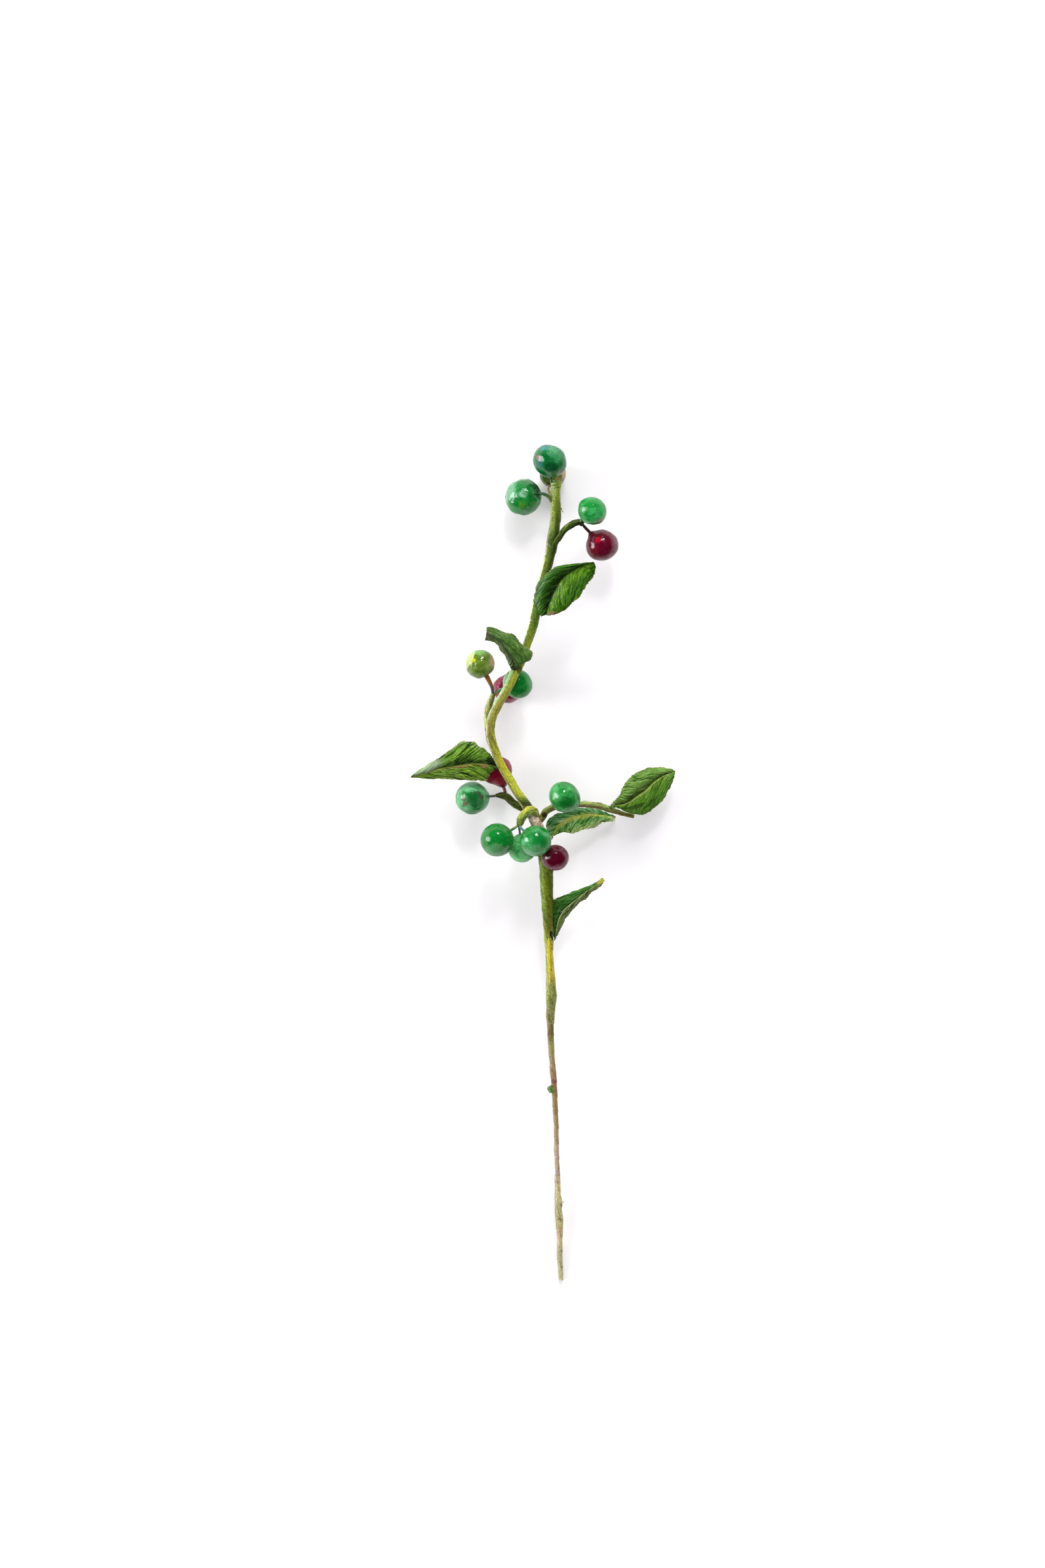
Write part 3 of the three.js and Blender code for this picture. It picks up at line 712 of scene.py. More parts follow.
def pleated_sheet_tree():
    """A thin sheet of crepe paper: pleats that run outwards and back from the midrib, a ragged edge
    where they end, and the paper's own thickness."""
    graph, given = new_tree(
        "pleated sheet", "GeometryNodeTree",
        [
            ("Sheet", "geometry", None), ("Left Grain", "float", 0.5), ("Right Grain", "float", 0.5),
            ("Pleat Width", "float", 0.8), ("Pleat Depth", "float", 0.00015),
            ("Fine Depth", "float", 0.00005), ("Ragged Edge", "float", 0.0003),
            ("Buckle", "float", 0.0002), ("Thickness", "float", 0.00025), ("Seed", "float", 1.0),
            ("Material", "material", None),
        ],
        [("Mesh", "geometry")],
    )
    way, off, across = read(graph, "way"), read(graph, "off"), read(graph, "across")
    on_left = graph.math("LESS_THAN", across, 0.0)
    grain = graph.get("ShaderNodeMix", {0: on_left, 2: given["Right Grain"], 3: given["Left Grain"]})
    phase = way * graph.math("SINE", grain) + off * graph.math("COSINE", grain)
    reach = off * graph.math("SINE", grain) - way * graph.math("COSINE", grain)
    side = on_left * 40
    bend = graph.noise(graph.join(phase, reach * 0.7, side), 0.16, 1.0)
    phase = phase + (bend - 0.5) * 3
    turns = phase / given["Pleat Width"]
    lines_at = graph.join(turns, side, reach * 0.1)
    grooves = []
    for scale, width in ((0.72, 0.065), (1.9, 0.075)):
        lines = graph.noise(lines_at, scale, 2.0, 0.5)
        grooves.append(graph.span(abs(lines - 0.5), 0.0, width))
    lesser = grooves[1] * 0.45 + 0.55
    fading = graph.noise(graph.join(turns * 0.4, side, reach * 0.3), 1.0, 2.0)
    ridge = grooves[0] * lesser * graph.span(fading, 0.25, 0.7, 0.55, 1.15)
    fine = graph.noise(graph.join(turns * 2.6, side, reach * 0.3), 1.0, 2.0)
    calm = graph.span(abs(across), 0.0, 0.09)
    rise = (ridge - 0.5) * given["Pleat Depth"] + (fine - 0.5) * given["Fine Depth"]
    rise = rise * calm
    position = graph.get("GeometryNodeInputPosition")
    swell = graph.noise(position, 420.0, 2.0)
    rise = rise + (swell - 0.5) * given["Buckle"]
    normal = graph.get("GeometryNodeInputNormal")
    rim = graph.span(abs(across), 0.86, 1.0)
    torn = graph.noise(graph.join(way, side, 0.0), 0.42, 4.0, 0.75)
    teeth = (torn - 0.54) * 3.4 + (ridge - 0.6) * 0.3
    jag = graph.math("MINIMUM", teeth, 0.35) * given["Ragged Edge"]
    push = graph.scaled(read(graph, "outward", "FLOAT_VECTOR"), jag * rim)
    sheet = store(graph, given["Sheet"], "ridge", ridge)
    sheet = store(graph, sheet, "fine", fine)
    sheet = store(graph, sheet, "grain", graph.join(turns, side, reach), "FLOAT_VECTOR")
    offset = graph.vector("ADD", graph.scaled(normal, rise), push)
    sheet = graph.get("GeometryNodeSetPosition", {"Geometry": sheet, "Offset": offset})
    thick = graph.get(
        "GeometryNodeExtrudeMesh",
        {
            "Mesh": sheet, "Offset": graph.scaled(normal, -1.0), "Offset Scale": given["Thickness"],
            "Individual": False,
        },
        "Mesh", mode="FACES",
    )
    under = store(graph, thick, "under", 1.0)
    flipped = graph.get("GeometryNodeFlipFaces", {"Mesh": under})
    top = store(graph, sheet, "under", 0.0)
    both = graph.add("GeometryNodeJoinGeometry", {0: flipped})
    graph.feed(both.inputs[0], top)
    joined = Value(graph, both.outputs[0])
    closed = graph.get("GeometryNodeMergeByDistance", {"Geometry": joined, "Distance": SAME_POINT})
    finish_tree(graph, closed, given["Material"])


def berry_tree():
    """A hand-shaped berry: a ball with shallow lumps and a neck or a dimple where its stalk enters."""
    graph, given = new_tree(
        "berry", "GeometryNodeTree",
        [
            ("Nothing", "geometry", None), ("Centre", "vector", (0, 0, 0)),
            ("Half Widths", "vector", (1, 1, 1)), ("Stalk Direction", "vector", (0, 0, 1)),
            ("Neck Height", "float", 0.0), ("Neck Width", "float", 0.2), ("Lump Height", "float", 0.03),
            ("Lump Size", "float", 1.2), ("Bulge A", "vector", (0, 0, 1)),
            ("Bulge B", "vector", (0, 0, -1)), ("Bulge Height", "float", 0.0), ("Seed", "float", 1.0),
            ("Material", "material", None),
        ],
        [("Mesh", "geometry")],
    )
    ball = graph.get(
        "GeometryNodeMeshUVSphere", {"Segments": BERRY_SEGMENTS, "Rings": BERRY_RINGS, "Radius": 1.0},
    )
    turn = graph.get("FunctionNodeAlignRotationToVector", {"Vector": given["Stalk Direction"]}, axis="Z")
    ball = graph.get("GeometryNodeTransform", {"Geometry": ball, "Rotation": turn})
    out = graph.get("GeometryNodeInputPosition")
    facing = graph.vector("DOT_PRODUCT", graph.vector("NORMALIZE", out), given["Stalk Direction"])
    ball = store(graph, ball, "facing", facing)
    ball = store(graph, ball, "skin", out, "FLOAT_VECTOR")
    away = 1 - facing
    bell = graph.math("EXPONENT", away * -1.0 / given["Neck Width"])
    neck = bell * given["Neck Height"]
    lump = graph.noise(out, given["Lump Size"], 1.5)
    dents = graph.noise(out, given["Lump Size"] * 3.2, 1.0)
    bumps = lump - 0.55 + (dents - 0.5) * 0.22
    bumps = bumps * given["Lump Height"]
    length = 1 + neck + bumps
    for bulge in ("Bulge A", "Bulge B"):
        away_from = graph.vector("DOT_PRODUCT", out, given[bulge]) - 1
        swelling = graph.math("EXPONENT", away_from * BULGE_STEEPNESS)
        length = length + swelling * given["Bulge Height"]
    shaped = graph.vector("MULTIPLY", graph.scaled(out, length), given["Half Widths"])
    ball = graph.get(
        "GeometryNodeSetPosition",
        {"Geometry": ball, "Position": graph.vector("ADD", shaped, given["Centre"])},
    )
    finish_tree(graph, ball, given["Material"])


# ---------------------------------------------------------------- shader groups

def paint_patches_group():
    """Uneven paint: one colour showing through another in soft or hard patches."""
    graph, given = new_tree(
        "paint patches", "ShaderNodeTree",
        [
            ("Vector", "vector", (0, 0, 0)), ("Scale", "float", 5.0), ("Seed", "float", 0.0),
            ("Cover", "float", 0.5), ("Softness", "float", 0.1), ("Under", "colour", (0, 0, 0, 1)),
            ("Over", "colour", (1, 1, 1, 1)),
        ],
        [("Color", "colour"), ("Mask", "float")],
    )
    cloud = graph.noise(given["Vector"], given["Scale"], 4.0, 0.6, distortion=0.6)
    edge = 1 - given["Cover"]
    mask = graph.span(cloud, edge - given["Softness"], edge + given["Softness"])
    graph.add("NodeGroupOutput", {0: graph.mix(mask, given["Under"], given["Over"]), 1: mask})


def brush_streaks_group():
    """Fine lines left by a brush or by paper grain, as a height and as a mask."""
    graph, given = new_tree("brush streaks", "ShaderNodeTree", [
        ("Vector", "vector", (0, 0, 0)), ("Stretch", "vector", (1, 1, 8)), ("Seed", "float", 0.0),
    ], [("Height", "float"), ("Mask", "float")])
    drawn = graph.vector("MULTIPLY", given["Vector"], given["Stretch"])
    height = graph.noise(drawn, 1.0, 5.0, 0.65, distortion=0.3)
    graph.add("NodeGroupOutput", {0: height, 1: graph.span(height, 0.42, 0.66)})


def varnish_group():
    """Brushed varnish: where it is thick it is smooth and clear, and where it is thin it is dull."""
    graph, given = new_tree("brushed varnish", "ShaderNodeTree", [
        ("Vector", "vector", (0, 0, 0)), ("Scale", "float", 6.0), ("Seed", "float", 0.0),
        ("Smooth", "float", 0.2), ("Dull", "float", 0.5), ("Thin", "float", 0.3), ("Thick", "float", 1.0),
    ], [("Roughness", "float"), ("Coat", "float")])
    cloud = graph.noise(given["Vector"], given["Scale"], 3.0, 0.55)
    rough = graph.span(cloud, 0.3, 0.7, given["Smooth"], given["Dull"])
    coat = graph.span(cloud, 0.35, 0.6, given["Thick"], given["Thin"])
    graph.add("NodeGroupOutput", {0: rough, 1: coat})


def use_group(graph, name, shift=0, **inputs):
    """One placed copy of a shared shader group: its outputs by name."""
    node = graph.add("ShaderNodeGroup", node_tree=bpy.data.node_groups[name])
    node.inputs["Seed"].default_value = graph.seed + shift
    for key, value in inputs.items():
        graph.feed(node.inputs[key], value)
    return {output.name: Value(graph, output) for output in node.outputs}


def attribute(graph, name, output="Fac"):
    """A value stored on the mesh, inside a material."""
    return graph.get("ShaderNodeAttribute", output=output, attribute_name=name)


def ramp(graph, value, stops):
    """A colour that changes along a value, from (place, colour) stops."""
    node = graph.add("ShaderNodeValToRGB", {"Fac": value})
    elements = node.color_ramp.elements
    while len(elements) > 1:
        elements.remove(elements[-1])
    elements[0].position, elements[0].color = stops[0]
    for position, colour in stops[1:]:
        elements.new(position).color = colour
    return Value(graph, node.outputs["Color"])


def words(name):
    """A name with spaces for its underscores."""
    return name.replace("_", " ")


def seed_of(name):
    """A fixed seed for a piece, from its name."""
    return float(sum((i + 1) * ord(c) for i, c in enumerate(name)) % 97)


def new_material(name, seed=0.0):
    """A material with its nodes cleared, its graph and its surface shader."""
    material = bpy.data.materials.new(name)
    material.use_nodes = True
    material.node_tree.nodes.clear()
    graph = Graph(material.node_tree)
    graph.seed = seed
    surface = graph.add("ShaderNodeBsdfPrincipled")
    graph.add("ShaderNodeOutputMaterial", {"Surface": Value(graph, surface.outputs[0])})
    return material, graph, surface


def varnished(graph, surface, bumps, brushed, **sockets):
    """Finishes a surface under brushed varnish, given the varnish group's inputs."""
    varnish = use_group(graph, "brushed varnish", **brushed)
    sockets.update(Roughness=varnish["Roughness"], Coat_Weight=varnish["Coat"])
    return finish_surface(graph, surface, bumps, **sockets)


def finish_surface(graph, surface, bumps=None, **sockets):
    """Feeds a surface shader's sockets, named with underscores for spaces, and gives it bumps:
    a height, its distance in metres and its strength."""
    for key, value in sockets.items():
        graph.feed(surface.inputs[key.replace("_", " ")], value)
    if bumps:
        height, distance, strength = bumps
        bump = graph.get("ShaderNodeBump", {"Height": height, "Distance": distance, "Strength": strength})
        graph.feed(surface.inputs["Normal"], bump)
        return bump
    return None


# ---------------------------------------------------------------- paints

# Bark: stops (y in millimetres, red, green, blue) down each stem for its right side, its left side
# and the thin line of its left edge, then the brushed patches, how far they cover, and the line of
# each wrap's edge. The sides are partly two-tone paint and partly painted light and shade: the
# left side, facing the lamp at the left, is mostly lighter and the right side darker. The pale
# left edge is partly paint and partly a painted highlight. Spots: x, y, width and length in
# millimetres, colour and strength; the near-black spots are painted shadows in hollows and
# crotches. Crumpled paper: from y to y, its light and its dark colour: painted light and painted
# shade on its folds.
# The foot's pale paint is partly its own colour and partly a painted veil of reflected light.
FOOT_PAINT = [
    (-68, 134, 122, 76), (-71, 112, 96, 62), (-76, 150, 150, 94), (-82, 154, 130, 104),
    (-87, 148, 114, 92), (-96, 148, 130, 90), (-102, 160, 138, 104), (-107, 170, 148, 128),
    (-113, 190, 162, 152), (-118, 188, 172, 144), (-124, 198, 184, 146), (-129, 178, 174, 134),
    (-135, 184, 178, 134), (-140, 195, 186, 146), (-146, 172, 168, 136), (-154, 192, 192, 154),
]
BARKS = {
    "stem_upper": {
        # At y 5 the near-black stops on both sides are a painted shadow at the middle twig's wrap.
        "right": [
            (112, 140, 166, 80), (108, 130, 150, 50), (103, 84, 104, 10), (97, 62, 80, 14),
            (92, 14, 32, 0), (86, 54, 72, 8), (72, 66, 92, 16), (64, 70, 98, 18),
            (57, 130, 142, 40), (48, 158, 168, 52), (37, 154, 148, 68), (26, 164, 166, 60),
            (17, 178, 180, 40), (8, 184, 190, 64), (6.4, 104, 124, 48), (5, 40, 50, 16),
            (3, 150, 130, 110), (0, 166, 140, 124),
        ],
        "left": [
            (112, 160, 184, 110), (106, 150, 166, 80), (103, 130, 146, 60), (97, 120, 138, 64),
            (92, 60, 80, 24), (86, 96, 108, 40), (72, 90, 118, 46), (64, 92, 112, 40),
            (48, 124, 134, 34), (37, 146, 138, 62), (26, 122, 114, 52), (17, 158, 154, 58),
            (8, 176, 178, 62), (6.4, 104, 124, 48), (5, 44, 54, 18), (0, 150, 132, 108),
        ],
        "edge": [
            (112, 180, 200, 146), (103, 170, 182, 124), (92, 120, 132, 70), (84, 200, 212, 160),
            (64, 212, 226, 180), (50, 150, 165, 96), (37, 196, 196, 150), (27, 206, 204, 160),
            (17, 150, 152, 96), (8, 172, 178, 84), (0, 150, 132, 108),
        ],
        "patch": (34, 58, 10), "cover": 0.24, "line": (74, 48, 30),
        "spots": [
            (6.4, 110.2, 0.9, 0.22, (66, 84, 34), 0.75), (7.4, 109.4, 0.8, 0.2, (60, 76, 26), 0.7),
            (6.9, 103, 0.35, 3.4, (84, 92, 20), 0.6), (7.1, 98, 0.5, 4, (52, 66, 12), 0.6),
            # A painted shadow under the middle leaf's base.
            (-5.2, 48.8, 0.9, 1.6, (24, 30, 12), 0.7),
        ],
        "crumple": (-4, 2.2, (238, 220, 196), (160, 128, 110)),
    },
    "stem_lower": {
        "right": [
            (0, 150, 130, 108), (-6, 136, 122, 84), (-12, 96, 108, 34), (-22, 104, 116, 18),
            (-36, 90, 96, 30), (-40, 150, 150, 80), (-44, 176, 166, 60), (-49, 190, 178, 86),
            (-53, 174, 166, 84), (-58, 140, 140, 78), (-62, 130, 128, 74), (-68, 146, 136, 92),
        ],
        "left": [
            (0, 158, 140, 112), (-6, 120, 124, 60), (-12, 106, 124, 40), (-22, 120, 142, 34),
            (-36, 100, 108, 36), (-40, 140, 148, 66), (-44, 190, 184, 84), (-49, 166, 170, 84),
            (-53, 150, 158, 90), (-58, 136, 146, 78), (-62, 124, 128, 68), (-68, 138, 132, 86),
        ],
        "edge": [
            (0, 158, 140, 112), (-12, 120, 140, 56), (-30, 130, 150, 50), (-49, 176, 184, 108),
            (-68, 140, 134, 90),
        ],
        "patch": (58, 70, 16), "cover": 0.3, "line": (70, 52, 30),
        "spots": [
            # The first two spots are a painted shadow in the hollow where the low leaf meets the stem.
            (5.3, -38.3, 0.55, 1.2, (16, 18, 4), 0.95), (5.7, -39.6, 0.3, 0.9, (14, 16, 4), 0.9),
            (5.8, -24, 0.5, 9, (60, 72, 8), 0.5),
        ],
        "crumple": (-3, 3, (238, 220, 196), (160, 128, 110)),
    },
    "stem_foot": {
        "right": FOOT_PAINT, "left": FOOT_PAINT,
        "edge": [(-68, 136, 130, 84), (-110, 170, 160, 128), (-154, 172, 170, 132)],
        "patch": (104, 84, 62), "cover": 0.3, "line": (120, 62, 62),
        "spots": [
            (7.5, -117.6, 1.2, 0.7, (176, 136, 140), 0.7), (7.8, -118.6, 0.7, 0.2, (136, 92, 96), 0.7),
            (7.5, -121, 0.8, 0.2, (140, 100, 100), 0.7), (7.7, -139, 0.3, 1.1, (206, 150, 136), 0.6),
            (6.2, -87.3, 1.1, 0.7, (112, 66, 66), 0.7),
        ],
    },
    "twig_top_right": {
        "right": [(86, 58, 74, 12), (98, 62, 80, 20)],
        "left": [(86, 70, 90, 20), (98, 104, 124, 54)],
        "edge": [(86, 84, 100, 40), (98, 112, 132, 70)], "patch": (28, 40, 10), "cover": 0.4,
        "line": (50, 38, 20),
    },
    "twig_bend": {
        "right": [(23, 104, 96, 54), (32, 120, 116, 56), (41, 104, 110, 54)],
        "left": [(23, 150, 150, 96), (32, 190, 196, 130), (41, 160, 168, 112)],
        "edge": [(23, 170, 172, 120), (41, 196, 204, 150)], "patch": (84, 70, 36), "cover": 0.36,
        "line": (80, 56, 38),
    },
    "twig_left": {
        "right": [(0, 110, 130, 60), (8, 70, 82, 24)],
        "left": [(0, 90, 112, 50), (8, 72, 82, 30)],
        "edge": [(0, 110, 130, 70), (8, 96, 104, 50)], "patch": (40, 44, 12), "cover": 0.42,
        "line": (54, 38, 20),
    },
    "twig_middle": {
        "right": [(-2, 120, 134, 70), (1, 150, 160, 70), (3, 196, 196, 80)],
        "left": [(-2, 120, 144, 72), (3, 150, 164, 84)],
        "edge": [(-2, 130, 150, 80), (3, 176, 188, 110)], "patch": (84, 106, 40), "cover": 0.36,
        "line": (110, 86, 50),
    },
    "twig_right": {
        "right": [(0, 110, 112, 40), (1.5, 130, 130, 56), (2.5, 118, 122, 60), (5, 130, 130, 76)],
        "left": [(0, 168, 164, 70), (1.5, 160, 164, 66), (2.5, 128, 148, 72), (5, 154, 176, 104)],
        "edge": [(0, 160, 166, 100), (5, 170, 186, 130)], "patch": (96, 72, 50), "cover": 0.34,
        "line": (78, 54, 34),
        "spots": [
            # The first spot is a painted shadow in the crotch between the stem and this twig.
            (3, 1.3, 0.9, 1, (20, 22, 6), 0.9), (7.6, 3.2, 2, 0.5, (126, 92, 66), 0.7),
            (14.5, 4.2, 3, 0.45, (132, 98, 72), 0.6), (21, 3.7, 1.5, 0.5, (110, 80, 56), 0.6),
        ],
    },
}

# Leaves: stops (place across, red, green, blue) from the left edge at -1 over the midrib at 0 to
# the right edge at 1, where the darkest stop beside the midrib, in the leaves that have one, is
# painted shade in its fold; the painted shade at (share of the length, strength) from base to tip;
# and the other paints. groove is the colour of the painted shade in the pleat grooves and of random
# dark blots, crest the colour of the painted highlights on the pleat crests, and glints their
# strength.
LEAF_PAINTS = {
    "leaf_top": {
        "across": [
            (-1, 50, 108, 12), (-0.6, 44, 104, 8), (-0.3, 34, 78, 8), (-0.05, 16, 38, 6),
            (0.04, 76, 128, 12), (0.3, 96, 146, 18), (0.6, 60, 118, 8), (1, 54, 106, 14),
        ],
        "shade": [(0, 0.85), (0.1, 1), (1, 1)], "groove": (10, 30, 2), "crest": (136, 172, 96),
        "patch": (150, 188, 30), "cover": 0.36, "rib": (30, 60, 8), "rim": (140, 124, 80), "glints": 0.3,
        "blots": 0.75, "varnish": 0.6,
        "marks": [
            (0.02, 0.62, 0.08, 0.3, (176, 128, 108), 0.75), (0.98, 0.1, 0.03, 0.8, (70, 50, 36), 0.6),
        ],
    },
    "leaf_middle": {
        "across": [
            (-1, 104, 122, 84), (-0.5, 80, 104, 56), (-0.12, 46, 66, 28), (-0.03, 24, 32, 14),
            (0.04, 60, 92, 38), (0.5, 72, 112, 44), (1, 84, 118, 56),
        ],
        "shade": [(0, 0.35), (0.12, 0.9), (0.3, 1), (1, 1)], "groove": (20, 36, 14),
        "crest": (168, 192, 140), "patch": (124, 152, 66), "cover": 0.26, "rib": (38, 46, 26),
        "rim": (158, 140, 108), "glints": 0.4, "blots": 0.35, "grooves": 0.5,
        "marks": [(0.97, -0.3, 0.05, 0.8, (92, 78, 58), 0.6)],
    },
    "leaf_side": {
        "across": [
            (-1, 116, 142, 56), (-0.6, 100, 142, 30), (-0.12, 112, 154, 30),
            (-0.03, 160, 136, 80), (0.02, 24, 40, 6), (0.2, 70, 112, 24), (0.6, 112, 164, 38),
            (1, 130, 168, 92),
        ],
        "shade": [(0, 0.4), (0.1, 0.7), (0.22, 1), (1, 1)], "groove": (14, 34, 4),
        "crest": (178, 202, 150), "patch": (166, 190, 50), "cover": 0.34, "rib": (110, 130, 44),
        "rim": (158, 146, 90), "glints": 0.5, "blots": 0.65, "grooves": 0.9,
        "marks": [
            # First mark: a painted highlight. Second: a painted shadow where the base meets the stem.
            (0.8, 0.5, 0.16, 0.5, (190, 210, 180), 0.5), (0.06, 0.35, 0.08, 0.4, (8, 12, 2), 0.85),
            (0.42, -0.04, 0.1, 0.06, (170, 118, 84), 0.7), (0.16, -0.12, 0.05, 0.1, (168, 110, 80), 0.6),
        ],
    },
    "leaf_branch": {
        "across": [
            (-1, 112, 158, 70), (-0.5, 118, 164, 76), (-0.18, 56, 84, 16), (-0.05, 40, 62, 12),
            (0.05, 102, 142, 40), (0.4, 82, 134, 32), (1, 76, 126, 36),
        ],
        "shade": [(0, 0.9), (0.2, 1), (1, 1)], "groove": (30, 54, 12), "crest": (168, 196, 132),
        "patch": (160, 174, 56), "cover": 0.3, "rib": (158, 180, 84), "rim": (166, 140, 100),
        "glints": 0.45, "blots": 0.45,
        "marks": [
            (0.05, -0.3, 0.05, 0.5, (206, 214, 190), 0.6), (0.3, 0.45, 0.14, 0.12, (30, 44, 12), 0.7),
        ],
    },
    "leaf_fork": {
        "across": [
            (-1, 120, 200, 132), (-0.5, 84, 176, 96), (-0.08, 140, 200, 90), (0.04, 186, 210, 84),
            (0.4, 96, 180, 84), (1, 180, 204, 110),
        ],
        # Its near-white patches are painted highlights, like its crest colour.
        "shade": [(0, 1), (1, 0.95)], "groove": (2, 62, 26), "crest": (250, 252, 246),
        "patch": (236, 244, 216), "cover": 0.32, "rib": (206, 206, 96), "rim": (196, 190, 140),
        "glints": 1.0, "blots": 0.6, "varnish": 1.0,
        "marks": [
            (0.98, 0.2, 0.035, 0.8, (214, 180, 150), 0.8), (0.45, 0.1, 0.3, 0.12, (204, 208, 90), 0.5),
        ],
    },
    "leaf_low": {
        "across": [
            (-1, 66, 130, 44), (-0.4, 48, 108, 26), (-0.06, 34, 76, 14), (0.05, 128, 144, 80),
            (0.5, 116, 134, 76), (1, 108, 122, 70),
        ],
        "shade": [(0, 0.85), (1, 1)], "groove": (10, 42, 10), "crest": (158, 190, 134),
        "patch": (140, 156, 60), "cover": 0.26, "rib": (196, 202, 140), "rim": (150, 134, 94),
        "glints": 0.5, "blots": 0.5, "marks": [(0.97, 0, 0.06, 0.9, (196, 190, 72), 0.8)],
    },
    "leaf_stalk_middle": {
        # Near-white left edge partly a painted highlight, dark right edge partly painted shade.
        "across": [
            (-1, 232, 242, 222), (-0.5, 190, 216, 176), (0.2, 156, 196, 140),
            (0.8, 150, 176, 112), (1, 86, 100, 50),
        ],
        "shade": [(0, 0.9), (1, 1)], "groove": (120, 148, 92), "crest": (240, 246, 232),
        "patch": (170, 180, 110), "cover": 0.24, "rib": (170, 200, 146), "rim": (226, 232, 200),
        "glints": 0.6, "blots": 0.2,
    },
    "leaf_stalk_side": {
        # Near-white left edge partly a painted highlight, dark right edge partly painted shade.
        "across": [
            (-1, 222, 222, 190), (-0.4, 190, 190, 140), (0.3, 150, 156, 96), (1, 80, 84, 40),
        ],
        "shade": [(0, 1), (1, 1)], "groove": (100, 104, 56), "crest": (226, 228, 200),
        "patch": (170, 172, 110), "cover": 0.3, "rib": (180, 182, 130), "rim": (220, 218, 180),
        "glints": 0.35, "blots": 0.25,
    },
    "leaf_stalk_low": {
        "across": [
            (-1, 150, 140, 60), (-0.6, 206, 194, 50), (0.1, 222, 210, 56), (0.7, 196, 170, 60),
            (1, 160, 130, 60),
        ],
        "shade": [(0, 0.95), (1, 1)], "groove": (150, 112, 40), "crest": (236, 228, 130),
        "patch": (190, 130, 50), "cover": 0.36, "rib": (214, 200, 60), "rim": (176, 160, 74),
        "glints": 0.3, "blots": 0.3, "grooves": 0.5,
    },
    "bud_scale": {
        "across": [
            (-1, 112, 146, 76), (-0.1, 84, 118, 50), (0, 30, 46, 18), (0.2, 110, 150, 84),
            (1, 136, 170, 112),
        ],
        "shade": [(0, 0.9), (1, 1)], "groove": (40, 60, 24), "crest": (170, 192, 140),
        "patch": (120, 150, 80), "cover": 0.2, "rib": (34, 50, 20), "rim": (150, 140, 100), "glints": 0.3,
        "blots": 0.3,
    },
}
